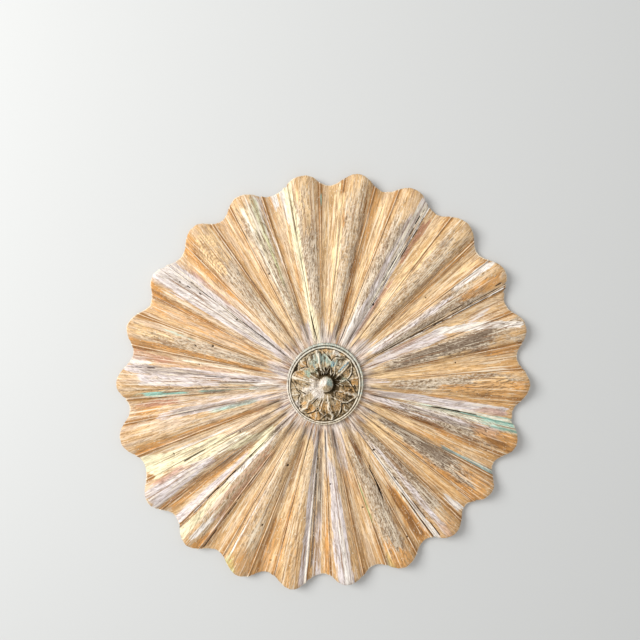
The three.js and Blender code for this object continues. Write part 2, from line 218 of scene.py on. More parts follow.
        (58.4, 58.8, 150, 236, 0.5, 0.4, 0.3), (15.4, 12.9, 84, 292, 1.4, 0.38, 0.54),
        (45.6, 45.2, 100, 296, 1, 0.52, 0.51), (78.6, 78.2, 88, 296, 1.2, 0.38, 0.51),
        (94, 94.6, 90, 290, 0.75, 0.3, 0.44), (92, 91, 84, 120, 1.7, 1.2, 0.48),
        (111.2, 110.2, 86, 286, 0.9, 0.52, 0.48), (108.6, 109, 244, 280, 0.9, 1, 0.51),
        (128.2, 128.6, 90, 284, 0.38, 0.45, 0.41), (134.6, 134.4, 110, 282, 0.38, 0.38, 0.41),
        (153.2, 152.6, 76, 116, 1.8, 1.4, 0.54), (168, 167, 140, 280, 0.6, 0.6, 0.44),
        (200, 199.4, 85, 296, 0.9, 0.38, 0.48), (215.4, 215.4, 80, 294, 0.68, 0.38, 0.48),
        (231.8, 232.2, 78, 290, 1, 0.38, 0.44), (248, 248.6, 90, 285, 0.6, 0.45, 0.34),
        (281, 280.6, 84, 286, 0.68, 0.38, 0.51), (298.4, 298.2, 110, 286, 0.45, 0.38, 0.44),
        (325.6, 325, 84, 240, 0.98, 0.3, 0.54), (342.4, 341.9, 100, 285, 0.52, 0.3, 0.37),
        (357.8, 357.2, 90, 290, 0.6, 0.45, 0.31), (359.9, 0.1, 120, 210, 0.3, 0.3, 0.41),
        (6.4, 5.6, 84, 230, 0.45, 0.22, 0.27), (16.4, 16.8, 78, 112, 1.5, 1, 0.48),
        (305, 304, 210, 262, 0.22, 0.22, 0.2), (114, 113.6, 246, 262, 0.3, 0.3, 0.34),
        (235, 234.4, 165, 205, 0.9, 0.75, 0.37),
    ],
    "slate": [
        (34.2, 34.2, 84, 142, 1.4, 1.2, 0.5), (286, 286.4, 84, 142, 1.4, 1.2, 0.5),
        (181.6, 181.8, 84, 196, 1.6, 1.2, 0.62), (171, 170.8, 62, 92, 4, 2.4, 0.6),
        (240.6, 240.2, 84, 134, 3.2, 1.6, 0.6), (230.4, 230.8, 118, 190, 1.6, 1.2, 0.55),
        (258, 258.4, 130, 215, 1.4, 1.2, 0.45), (141, 141.2, 62, 92, 3, 2.4, 0.45),
        (123, 123.4, 62, 92, 3, 2, 0.45), (274.4, 274.6, 170, 262, 0.9, 1.2, 0.5),
        (242.6, 242.4, 176, 232, 0.5, 0.3, 0.6), (60.2, 59.8, 84, 215, 1.2, 1, 0.45),
        (73.4, 74, 120, 252, 2.6, 2.6, 0.7), (105.4, 107.2, 120, 228, 1, 1.2, 0.6),
        (121.4, 121.4, 100, 216, 3.2, 3.2, 0.6), (183.9, 183.8, 105, 272, 0.5, 0.4, 0.8),
        (224.6, 225.4, 70, 104, 3, 2.4, 0.75), (270.8, 270.6, 96, 148, 1, 0.7, 0.8),
        (11.8, 12.4, 118, 210, 1.2, 0.9, 0.45), (26.6, 26.8, 150, 262, 0.8, 0.9, 0.5),
        (336.6, 336.4, 200, 238, 0.5, 0.4, 0.6), (287.6, 287.8, 84, 102, 1.8, 1.4, 0.65),
        (101, 99, 72, 112, 3, 1.2, 0.5), (186.8, 187, 90, 150, 0.9, 0.7, 0.65),
        (353.4, 353.6, 150, 245, 1.6, 1.4, 0.35), (338.5, 338, 90, 118, 2.4, 2, 0.45),
        (138.4, 140.4, 84, 94, 1.6, 1.4, 0.6), (41, 41.4, 258, 288, 1.2, 1, 0.45),
        (8, 8.4, 250, 280, 1.4, 1.2, 0.35), (274.6, 274.4, 98, 108, 0.7, 0.6, 0.7),
        (256.4, 256.6, 100, 135, 1.2, 1, 0.4), (265.6, 266, 132, 172, 1, 1.1, 0.55),
    ],
}

# Cracks along the grain: inner angle, outer angle, inner and outer radius, width in mm, depth in mm.
CRACKS = [
    (102.1, 101.9, 158, 226, 2, 4), (150, 151.6, 134, 142, 1.6, 3), (151.4, 152.9, 140, 188, 1.9, 4),
    (61.7, 61.5, 70, 304, 1, 1.6), (62.4, 62.5, 140, 306, 1.1, 2.2), (60.8, 60.6, 150, 300, 0.8, 1.2),
    (30.3, 30.1, 170, 300, 0.8, 1.6), (31.8, 31.3, 110, 300, 0.8, 1.2), (142.8, 142.6, 150, 284, 1.2, 2.4),
    (144.6, 144.3, 190, 284, 1.1, 2.2), (184.3, 184, 100, 262, 0.9, 1.4), (225, 224.9, 100, 302, 0.9, 1.6),
    (241, 240.7, 176, 286, 0.7, 1.2), (275.3, 274.7, 232, 282, 0.9, 1.4), (268, 267.9, 70, 286, 0.7, 1),
    (307.4, 307.2, 70, 250, 0.6, 0.8), (351.6, 350, 60, 100, 1.3, 2), (306.3, 305, 205, 262, 0.5, 0.6),
    (265.1, 265, 150, 286, 0.6, 0.9), (216.2, 216, 120, 296, 0.6, 0.8), (60, 60.4, 70, 140, 0.7, 0.9),
    (272.5, 273.5, 80, 170, 0.8, 1),
]

# Nail and worm holes: angle, radius, size in mm.
HOLES = [
    (50.2, 193, 2.4), (333.7, 175, 3), (306.4, 154, 2.4), (151.3, 253, 2.4), (162.3, 188, 2.4),
    (81.3, 193, 2.2), (244.5, 240, 2.4), (203.3, 221, 2.6), (203.6, 127, 3.4), (196.5, 269, 2),
    (285.6, 251, 1.8), (240, 137, 2), (278.5, 181, 2), (142.6, 119, 3.2), (32.4, 134, 3), (335.8, 189, 1.8),
    (176, 144, 2.2), (112.5, 255, 2), (288.8, 167, 3), (286.5, 190, 2.4),
]

# Chips and small steps in the rim where joints end, then lobes and notches that were cut fuller or
# leaner than the rest: angle, half-width in degrees, depth in mm.
RIM_CHIPS = [
    (349.2, 0.5, 3.2), (347.6, 1.2, 1.2), (30.9, 0.5, 2.6), (29.4, 0.4, 1.6), (61.4, 0.4, 2.2),
    (63.2, 0.6, 2), (144.2, 0.5, 2.4), (184.4, 0.5, 1.6), (225.4, 0.4, 1.6), (305.8, 0.9, 1.4),
    (265.4, 0.6, 1.4), (101.8, 0.7, 1.6), (78.6, 0.3, 1.2), (294, 0.5, 0.8), (341, 0.4, 1.2),
    (173.2, 8, 2.2), (181.6, 8, 2.4), (190, 7, -1.2), (198, 7, -1.6), (245, 7, 1.6), (253.7, 7, -1.6),
    (301.8, 7, 2.2), (34, 7, -1.2), (66, 7, 1.2), (131.4, 7, -1.4),
]

# Directions of the rosette's six petals as they were cut, a little uneven.
PETALS_CUT = np.array([-13, 46, 110, 168, 222, 284, 347, 406])

# Knife strokes on the rosette, in mm from its middle: right and up at one end, right and up at the
# other, half-width, and how far the rib stands up or the cut goes in.
ROSETTE_STROKES = [
    (-13.2, 2.3, -46.1, 12.4, 0.9, 1.7), (-16.2, -2.2, -35.9, 3.1, 0.7, 1.2),
    (-9.4, -17.3, -33.6, -38.1, 0.6, 1.1), (-2.2, -20, -5.6, -35.1, 0.8, 1.6),
    (3.1, -19.6, 9.9, -35.9, 0.8, 1.7), (9.5, -16.9, 31.5, -25.6, 0.9, 1.3),
    (31.5, -25.6, 45.5, -17.7, 0.8, 1.2), (14.1, 8.4, 36.4, 30.7, 0.9, 2),
    (38.7, 29.2, 37.9, 16.3, 0.8, 1.3), (37.9, 16.3, 29.2, 6.5, 0.8, 1.2), (-3, 14.1, -6.4, 26.9, 0.8, 1.8),
    (-6.4, 26.9, -9, 49.6, 0.8, 1.5), (0.1, 14.4, 6.9, 24.3, 0.7, 2.2), (6.9, 12.6, 8.4, 20.9, 0.7, 2.2),
    (12.2, 13.3, 14.4, 24.3, 0.7, 2.2), (-6.4, 16.3, -12.4, 23.1, 0.7, 2.2),
    (-9.4, 6.5, -20.7, 14.8, 0.8, 2.2), (-16.2, 2.7, -21.5, 6.5, 0.7, 2), (16, 6.1, 31.5, 7.6, 0.7, 2),
    (17.1, 2.3, 25.4, 0.1, 0.7, 2), (17.5, -8.2, 25.8, -9.8, 0.7, 1.8), (20.9, 40.6, 33, 36, 0.8, 1),
    (-33.6, 37.5, -35.9, 26.2, 0.8, 1.2), (-35.9, 26.2, -33.6, 20.9, 0.8, 1),
    (-22.6, -41.9, -16.2, -51, 0.8, 1.2), (21.6, -21.5, 25.4, -30.6, 0.8, 1),
    (14.1, 45.8, 19.4, 39.8, 0.8, 1), (-39.6, -6.4, -26.8, -12.8, 1.1, -2),
    (-26, -41.5, -8.2, -34.7, 1, -2.2), (-5.6, -49.5, 2, -42.7, 1, -2),
    (-10.1, -18.5, -16.2, -25.3, 0.9, -2), (-3.7, -20.4, -6.4, -28.3, 0.8, -1.8),
    (24.7, -26.8, 23.1, -41.9, 1.2, -2), (39, 23.1, 42.1, 19.4, 1.2, -1.8),
    (33.4, 11.8, 29.6, 5.7, 0.9, -1.6), (43.6, -0.3, 47, -7.1, 0.9, -1.6),
    (12.6, 46.2, 17.9, 48.5, 1.2, -1.8), (-26, 1.2, -20.7, -1.1, 1, -1.6),
    (-20.7, -7.9, -15.4, -6.4, 0.9, -1.8), (26.9, -13.2, 36, -16.9, 0.8, -1.2),
    (25.4, -9.4, 39.8, -7.9, 0.8, -1), (30.7, -1.8, 42.1, -3.3, 0.7, -1),
    (9.5, -35.9, 17.1, -47.2, 0.9, -1.2), (-16.2, -41.9, -10.1, -48.7, 0.8, -1), (5, 41.3, 8, 36, 0.8, -1),
]

# Paint on the rosette: angle, half-width in degrees, inner and outer share of the radius, cover.
ROSETTE_MARKS = {
    # Olive-brown dirt; the ring of it round the knob's upper and right sides is also painted shade from the
    # knob.
    "olive_dirt_and_shade": [
        (60, 46, 0.2, 0.42, 0.85), (0, 36, 0.2, 0.4, 0.7), (110, 40, 0.2, 0.36, 0.8),
        (106, 26, 0.44, 0.86, 0.65), (158, 26, 0.56, 0.92, 0.75), (318, 24, 0.2, 0.4, 0.7),
        (134, 12, 0.66, 0.88, 0.6), (182, 10, 0.44, 0.8, 0.55), (78, 14, 0.28, 0.6, 0.6),
    ],
    "teal": [
        (312, 14, 0.42, 0.66, 0.34), (334, 10, 0.36, 0.7, 0.28), (16, 12, 0.46, 0.7, 0.38),
        (352, 10, 0.4, 0.8, 0.25), (72, 8, 0.4, 0.66, 0.3), (300, 12, 0.46, 0.62, 0.28),
        # The last two teal marks, on the knob's right side, are painted shade.
        (88, 20, 0.14, 0.2, 0.5), (40, 40, 0.05, 0.18, 0.45),
    ],
    "verdigris": [
        # The second mark greys the beads' right side: grey-green wash and painted shade.
        (350, 62, 0.925, 1.02, 0.95), (70, 40, 0.925, 1.02, 0.6), (300, 30, 0.925, 1.02, 0.5),
        # The second mark here, on the knob's right side, is painted shade.
        (10, 30, 0.56, 0.86, 0.45), (60, 60, 0.02, 0.17, 0.75), (330, 22, 0.6, 0.86, 0.35),
    ],
    "blue": [(46, 2.2, 0.46, 0.84, 0.95), (22, 4, 0.5, 0.62, 0.7), (330, 3, 0.46, 0.6, 0.5)],
    "white": [
        (246, 46, 0.14, 0.4, 0.9), (254, 12, 0.36, 0.62, 0.55), (289, 1.4, 0.22, 0.88, 0.6),
        (222, 0.8, 0.24, 0.86, 0.7), (234, 9, 0.78, 0.95, 0.8), (200, 12, 0.18, 0.34, 0.6),
        (171, 2.6, 0.26, 0.62, 0.6), (190, 2.6, 0.26, 0.52, 0.5), (20, 7, 0.8, 0.92, 0.55),
        # The first mark whitens the knob's upper left and the second the beads' left side: painted
        # highlights.
        (310, 60, 0.02, 0.17, 0.95), (262, 66, 0.92, 1.02, 0.75), (48, 16, 0.9, 0.97, 0.35),
    ],
    "ochre": [
        (211, 9, 0.6, 0.84, 0.95), (195, 9, 0.68, 0.92, 0.9), (315, 8, 0.62, 0.84, 0.65),
        (295, 8, 0.6, 0.86, 0.55), (84, 7, 0.72, 0.9, 0.75), (172, 10, 0.46, 0.7, 0.45),
        (2, 12, 0.8, 0.9, 0.55), (31, 7, 0.84, 0.93, 0.45), (228, 4, 0.66, 0.78, 0.8),
        (120, 16, 0.34, 0.6, 0.45), (276, 8, 0.6, 0.84, 0.4), (148, 12, 0.5, 0.74, 0.5),
        (62, 10, 0.56, 0.74, 0.5), (325, 5, 0.5, 0.62, 0.5), (104, 10, 0.54, 0.8, 0.4),
        (18, 6, 0.62, 0.78, 0.55), (186, 7, 0.4, 0.62, 0.5),
    ],
}


def srgb(red, green, blue):
    """A colour given as screen values from 0 to 255, turned to light values by the screen's curve."""
    share = np.array([red, green, blue]) / 255
    return np.where(share <= 0.04045, share / 12.92, ((share + 0.055) / 1.055) ** 2.4)


PAINTS = {
    "honey": srgb(252, 218, 166),  # clean honey-coloured wood
    "lilac": srgb(226, 217, 216),  # grey-lilac lime wash along the joints
    "white": srgb(248, 242, 234),  # white filler and gesso; on the knob's upper left and the beads' left side, a painted highlight
    "yellow": srgb(248, 240, 202),  # pale yellow paint
    "teal": srgb(168, 220, 206),  # blue-green paint; on the knob's right side, painted shade
    "cream": srgb(250, 244, 222),  # thin cream lines over the other paint
    "green": srgb(206, 218, 150),  # yellow-green paint
    "orange": srgb(220, 164, 98),  # orange stain
    "rust": srgb(196, 146, 118),  # pink-brown stain
    "umber_stain_and_shade": srgb(138, 92, 44),  # brown stain in hollows, and painted shade along the reed sides that face away from the light
    "slate": srgb(140, 122, 104),  # grey dirt
    "olive_dirt_and_shade": srgb(132, 108, 68),  # olive-brown dirt on the rosette, and round the knob's upper and right sides painted shade
    "blue": srgb(84, 152, 180),  # blue paint on the rosette
    "ochre": srgb(222, 172, 102),  # ochre paint on the rosette
    "verdigris": srgb(164, 184, 178),  # grey-green wash on the rosette; on the right of the knob and of the beads, also painted shade
}


def smooth(low, high, value):
    """0 below low, 1 above high, and the curve 3t^2 - 2t^3 in between."""
    t = np.clip((value - low) / (high - low), 0, 1)
    return t * t * (3 - 2 * t)


def blend(start, end, share):
    """A straight mix: start at share 0 and end at share 1."""
    return start + (end - start) * share


def hump(value, centre, width):
    """The curve exp(-((value - centre) / width)^2), which is 1 at the centre."""
    return np.exp(-(((value - centre) / width) ** 2))


def between(value, low, high, before, after):
    """1 from low to high and 0 outside them, with a smooth step that starts before each end and stops
    after it."""
    return smooth(low - before, low + after, value) * smooth(high + before, high - after, value)


def turn(start, end):
    """Signed turn from one angle to another, from -180 to 180 degrees."""
    return (end - start + 540) % 360 - 180


def dice(column, row, seed):
    """A repeatable random number from 0 to 1 for each pair of whole numbers."""
    mixed = (column * 374761393 + row * 668265263 + seed * 2246822519) & 0xFFFFFFFF
    mixed = ((mixed ^ (mixed >> 13)) * 1274126177) & 0xFFFFFFFF
    return ((mixed ^ (mixed >> 16)) & 0xFFFFFF) / 0xFFFFFF


def rough(x, y, seed):
    """A smooth random surface from -1 to 1: random values on a lattice of whole numbers, joined
    along both directions by the curve 3t^2 - 2t^3."""
    left, low = np.floor(x).astype(np.int64), np.floor(y).astype(np.int64)
    across, up = smooth(0, 1, x - left), smooth(0, 1, y - low)
    bottom = blend(dice(left, low, seed), dice(left + 1, low, seed), across)
    top = blend(dice(left, low + 1, seed), dice(left + 1, low + 1, seed), across)
    return 2 * blend(bottom, top, up) - 1


def rougher(x, y, seed, octaves=3):
    """Several random surfaces added up, each twice as fine and half as high as the last."""
    layers = [rough(x * 2**k, y * 2**k, seed + k) / 2**k for k in range(octaves)]
    return sum(layers) / sum(0.5**k for k in range(octaves))


def oval_radius(angle, long, short, axis):
    """Radius of an ellipse: one over the root of (cos / long)^2 + (sin / short)^2."""
    along = np.cos(np.radians(angle - axis)) / long
    across = np.sin(np.radians(angle - axis)) / short
    return 1 / np.hypot(along, across)


def lobe_share(angle):
    """0 on the crest of a lobe and 1 at the bottom of a flute, straight in between."""
    gaps = np.diff(np.append(LOBES, LOBES[0] + 360))
    knots = np.concatenate([LOBES, LOBES + gaps / 2])
    return np.interp(angle, knots, np.repeat([0.0, 1.0], len(LOBES)), period=360)


def lobe_value(angle, values):
    """A value given for each lobe, blended from crest to crest."""
    return np.interp(angle, LOBES, values, period=360)


def rim_radius(angle, sizes):
    """The scalloped rim: an oval less a cut that grows as s^2 over the lobe and dies as (1-s)^2
    into the notch, with small chips and a faint hand-cut wander."""
    s = lobe_share(angle + lobe_value(angle, RIM_LEAN))
    tips = oval_radius(angle, sizes.rim_long, sizes.rim_short, math.degrees(sizes.rim_axis))
    tips = tips + sizes.rim_lift * np.cos(np.radians(angle))
    cut = np.where(s <= 0.55, s * s / 0.55, 1 - (1 - s) ** 2 / 0.45)
    rim = tips * 1000 - sizes.lobe_depth * 1000 * cut
    rim = rim + 0.5 * rough(angle * 0.7, angle * 0, 5) + 0.35 * rough(angle * 2.2, angle * 0, 6)
    for at, half, depth in RIM_CHIPS:
        rim = rim - depth * smooth(1, 0.3, np.abs(turn(at, angle)) / half)
    return rim


def section_height(s, out, sizes):
    """Section across a lobe: a rounded reed (crest less s^2), a sharp quirk, a thin fillet with
    straight flanks, then a hollow flute (bottom plus (1-s)^2)."""
    crest = blend(25.5, sizes.crest_at_rim * 1000, out)
    flute = blend(21.5, sizes.flute_at_rim * 1000, out)
    shoulder = crest - blend(2.1, 7.0, out)
    fine = blend(0.35, 1.0, out)
    quirk = shoulder - 1.6 * fine
    top = shoulder + 0.5 * fine
    reed = blend(crest, quirk, np.clip(s / REED_EDGE, 0, 1) ** 2)
    fillet = top - (top - quirk) * np.clip(np.abs(s - FILLET_CREST) / 0.045, 0, 1)
    hollow = blend(flute, quirk, np.clip((1 - s) / (1 - FLUTE_EDGE), 0, 1) ** 2)
    return np.where(s <= REED_EDGE, reed, np.where(s <= FLUTE_EDGE, fillet, hollow))


def crack_cut(angle, radius):
    """How deep the cracks and holes go, in mm, and how dark they are, from 0 to 1. A crack is a
    V-shaped cut on a line that wanders a little; a hole is a round pit."""
    depth, dark = np.zeros_like(radius), np.zeros_like(radius)
    for number, (inner, outer, low, high, width, deep) in enumerate(CRACKS):
        t = np.clip((radius - low) / (high - low), 0, 1)
        line = inner + turn(inner, outer) * t
        wander = 0.7 * rough(radius / 17, radius * 0 + number, 40)
        away = np.abs(np.radians(turn(line, angle)) * radius - wander)
        broken = 0.7 + 0.3 * rough(radius / 9, radius * 0 + number, 41)
        wide = width * broken * np.sin(np.pi * np.clip(t, 0.02, 0.98)) ** 0.4
        cut = np.clip(1 - away / wide, 0, 1) * between(radius, low, high, 3, 3)
        depth, dark = np.maximum(depth, deep * cut), np.maximum(dark, smooth(0, 0.55, cut))
    for at, where, size in HOLES:
        away = np.hypot(np.radians(turn(at, angle)) * radius, (radius - where) * 1.2)
        cut = smooth(size * 0.75, size * 0.3, away)
        depth, dark = np.maximum(depth, 2.5 * cut), np.maximum(dark, cut)
    return depth, dark


def growth_rings(angle, radius):
    """Growth rings laid bare by the carving on two lobes, from 0 to 1: a wave along r + x^2 / 12, with
    x the distance from the lobe's crest, so that each ring is an arch."""
    rings = np.zeros_like(radius)
    for crest, low, high, strength in ((318.6, 204, 278, 1.0), (138.6, 140, 235, 0.35)):
        x = np.radians(turn(crest, angle)) * radius
        arch = radius + x * x / 12 + 2 * rough(radius / 30, x / 12, 69)
        wave = 0.5 + 0.5 * np.sin(arch * 2 * np.pi / 5.6)
        inside = smooth(21, 13, np.abs(x)) * smooth(low, low + 14, radius)
        inside = inside * smooth(high, high - 12, radius)
        rings = np.maximum(rings, strength * inside * smooth(0.45, 0.9, wave))
    return rings


def outward(radius, rim):
    """Share of the way from where the flutes begin to the rim."""
    return np.clip((radius - FLUTES_START) / (rim - FLUTES_START), 0, 1)


def field_height(angle, radius, rim, middle, sizes):
    """Height of the carved face: flat round the middle, fluted outside it, rounded off at the rim by
    a quarter circle, then fibres along the stave, tool marks, growth rings, cracks and holes."""
    out = outward(radius, rim)
    s = lobe_share(angle)
    worn = s + 0.02 * np.sin(np.pi * s) * rough(angle / 4, radius / 45, 11)
    height = section_height(worn, out, sizes)
    lift = dice(np.arange(len(LOBES)), np.zeros(len(LOBES), np.int64), 3) - 0.5
    height = height + out * 1.2 * lobe_value(angle, lift) + 0.5 * rougher(angle / 5, radius / 50, 12, 2)
    height = blend(sizes.hub_height * 1000, height, smooth(HUB_EDGE, FLUTES_FULL, radius))
    near = np.clip(1 - (rim - radius) / RIM_ROUND, 0, 1)
    height = height * (1 - 0.28 * (1 - np.sqrt(1 - near**2)))
    along = radius * np.cos(np.radians(turn(middle, angle)))
    across = radius * np.sin(np.radians(turn(middle, angle)))
    fibres = rougher(across / 1.7, along / 26, 21) + 0.6 * rougher(angle * 1.6, radius / 30, 22)
    crests = 0.45 + 0.55 * smooth(0.55, 0.25, s)
    height = height + sizes.grain_depth * 1000 * fibres * crests * smooth(50, 75, radius)
    height = height - 0.25 * growth_rings(angle, radius)
    return height - crack_cut(angle, radius)[0] * smooth(0, 4, rim - radius)


def paint_layers(angle, radius, marks, soft=1.0):
    """Colour and cover of the old paint: each mark is a streak whose edges and ends are broken up by
    random surfaces, laid over the marks before it. Small pieces take a lower softness."""
    colour, cover = np.zeros(radius.shape + (3,)), np.zeros_like(radius)
    for layer, (paint, streaks) in enumerate(marks.items()):
        for number, (inner, outer, low, high, half_in, half_out, strength) in enumerate(streaks):
            seed = 100 + layer * 40 + number
            t = np.clip((radius - low) / (high - low), 0, 1)
            away = np.abs(turn(inner + turn(inner, outer) * t, angle)) / blend(half_in, half_out, t)
            broad = rougher(angle * 1.1 * soft, radius / 34 / soft, seed)
            fine = rough(angle * 4 * soft, radius / 12 / soft, seed)
            side = smooth(1.3, 0.7, away + (0.45 * broad + 0.2 * fine))
            slack = 12 * soft * rougher(angle * 1.5 * soft, radius / 20 / soft, seed + 7, 2)
            amount = strength * side * between(radius + slack, low, high, 8 * soft, 6 * soft)
            colour = blend(colour, PAINTS[paint], amount[..., None])
            cover = 1 - (1 - cover) * (1 - amount)
    return colour / np.maximum(cover, 1e-4)[..., None], cover


def shell_faces(near, far, front, back):
    """Squares between each column of points and the next, and triangles that join the columns' first
    points to one point in front and their last points to one behind."""
    skin = np.stack([near[:, :-1], far[:, :-1], far[:, 1:], near[:, 1:]], -1).reshape(-1, 4)
    cap = np.stack([np.full(len(near), front), far[:, 0], near[:, 0]], -1)
    base = np.stack([np.full(len(near), back), near[:, -1], far[:, -1]], -1)
    return skin, cap, base


def put_mesh(name, points, face_sets, flat_sets=()):
    """Makes a mesh object from points in metres and arrays of corner numbers. The second sets of faces
    are shaded flat."""
    sets = [*face_sets, *flat_sets]
    corners = np.concatenate([f.ravel() for f in sets]).astype(np.int32)
    sizes = np.concatenate([np.full(len(f), f.shape[1]) for f in sets])
    starts = np.concatenate([[0], np.cumsum(sizes)[:-1]]).astype(np.int32)
    shaded = np.concatenate([np.full(len(f), k < len(face_sets)) for k, f in enumerate(sets)])
    mesh = bpy.data.meshes.new(name)
    mesh.vertices.add(len(points))
    mesh.vertices.foreach_set("co", points.astype(np.float32).ravel())
    mesh.loops.add(len(corners))
    mesh.loops.foreach_set("vertex_index", corners)
    mesh.polygons.add(len(sizes))
    mesh.polygons.foreach_set("loop_start", starts)
    mesh.update(calc_edges=True)
    mesh.polygons.foreach_set("use_smooth", shaded)
    piece = bpy.data.objects.new(name, mesh)
    bpy.context.scene.collection.objects.link(piece)
    return piece


def put_values(piece, name, layers, tips=((0, 0, 0, 0), (0, 0, 0, 0))):
    """Stores four values on each point under one name: the layers on the grid's points, then the tips
    on the two points added after them."""
    values = np.stack(np.broadcast_arrays(*layers), -1).reshape(-1, 4)
    made = piece.data.attributes.new(name, "FLOAT_COLOR", "POINT")
    made.data.foreach_set("color", np.concatenate([values, tips]).astype(np.float32).ravel())


def put_map(piece, angle, radius, middle):
    """A flat map: u runs round the disc and v outwards. The two points added last lie at the middle."""
    corners = np.zeros(len(piece.data.loops), np.int32)
    piece.data.loops.foreach_get("vertex_index", corners)
    u = np.append(angle.ravel(), [middle, middle]) / 360
    v = np.append(radius.ravel(), [0, 0]) / MAP_RADIUS
    layer = piece.data.uv_layers.new(name="Round and out")
    layer.data.foreach_set("uv", np.stack([u[corners], v[corners]], -1).astype(np.float32).ravel())


def polar_points(angle, radius, height):
    """Points in metres: x = r sin a, z = r cos a about the middle, y = -height."""
    turned = np.radians(angle)
    x, z = radius * np.sin(turned), radius * np.cos(turned)
    return np.stack([x, -height * np.ones_like(x), z], -1) / 1000 + np.array([0, 0, MIDDLE_Z])


def stave_columns(start, end):
    """Angles across a stave: the same shares of every lobe, closest over the quirks and the fillet,
    with extra ones beside the two joints. Counted on from the first joint."""
    half = np.concatenate([
        np.linspace(0, 0.5, 13), [0.53, 0.545, 0.56, 0.575, 0.59, 0.605, 0.62], np.linspace(0.65, 1, 10),
    ])
    whole = np.concatenate([half, 2 - half[-2:0:-1]]) / 2
    gaps = np.diff(np.append(LOBES, LOBES[0] + 360))
    angles = (LOBES[:, None] + gaps[:, None] * whole).ravel()
    past = (angles - start) % 360
    span = turn(start, end) % 360
    beside = np.array([0.12, 0.28, 0.5])
    past = past[(past > 0.7) & (past < span - 0.7)]
    return start + np.sort(np.concatenate([[0], beside, past, span - beside, [span]]))


def stave_shape(number, sizes):
    """One stave as a closed body. Its face is a grid of angle against radius, from the flat middle to
    the rim. The wall, the bevel and the flat back follow the same columns, and both joint faces are
    plain. The outer columns stand half a gap off the joint."""
    start = JOINTS[number]
    end = start + turn(start, JOINTS[(number + 1) % len(JOINTS)])
    middle = (start + end) / 2
    angles = stave_columns(start, end)
    columns = len(angles)
    rim = rim_radius(angles, sizes)[:, None]
    hub = np.array([[44, 52, 55, 57, 58.5, 60, 61.5, 63, 65, 67, 69, 71.5, 74, 77, 80]])
    span = np.linspace(0, 1, sizes.rows)
    round_off = RIM_ROUND * np.array([0.8, 0.6, 0.43, 0.3, 0.19, 0.11, 0.05, 0])
    radius = np.concatenate([
        np.repeat(hub, columns, 0), 82 + (rim - RIM_ROUND - 82) * span, rim - round_off,
    ], 1)
    angle = np.repeat(angles[:, None], radius.shape[1], 1)
    face = field_height(angle, radius, rim, middle, sizes)
    wall = face[:, -1:] * np.array([[0.75, 0.5]])
    wall_radius = rim + 0.3 * rough(angle[:, :2] * 2, wall / 3, 31)
    radius = np.concatenate([radius, wall_radius, rim, rim - BEVEL_WIDTH], 1)
    height = np.concatenate([face, wall, np.full((columns, 1), BEVEL_HEIGHT), np.zeros((columns, 1))], 1)
    chain = radius.shape[1]
    angle = np.repeat(angles[:, None], chain, 1)
    shift = np.zeros((columns, 1))
    shift[0], shift[-1] = 1, -1
    half_gap = sizes.joint_gap * 500
    set_in = shift * np.degrees(np.arcsin(half_gap / radius))
    points = polar_points(angle + set_in, radius, height).reshape(-1, 3)
    tip = half_gap / math.sin(math.radians((end - start) / 2))
    tips = polar_points(np.full(2, middle), np.full(2, tip), np.array([sizes.hub_height * 1000, 0]))

    grid = np.arange(columns * chain).reshape(columns, chain)
    front, back = columns * chain, columns * chain + 1
    skin, cap, base = shell_faces(grid[:-1], grid[1:], front, back)
    first = np.concatenate([[back, front], grid[0]])[None]
    last = np.concatenate([[back, front], grid[-1]])[None, ::-1]
    faces = [cap, base, first, last]
    piece = put_mesh(f"stave_{number + 1}_old_wood", np.concatenate([points, tips]), [skin], faces)
    stave_finish(piece, angle, radius, height, rim)
    put_map(piece, angle, radius, middle)
    return piece, middle


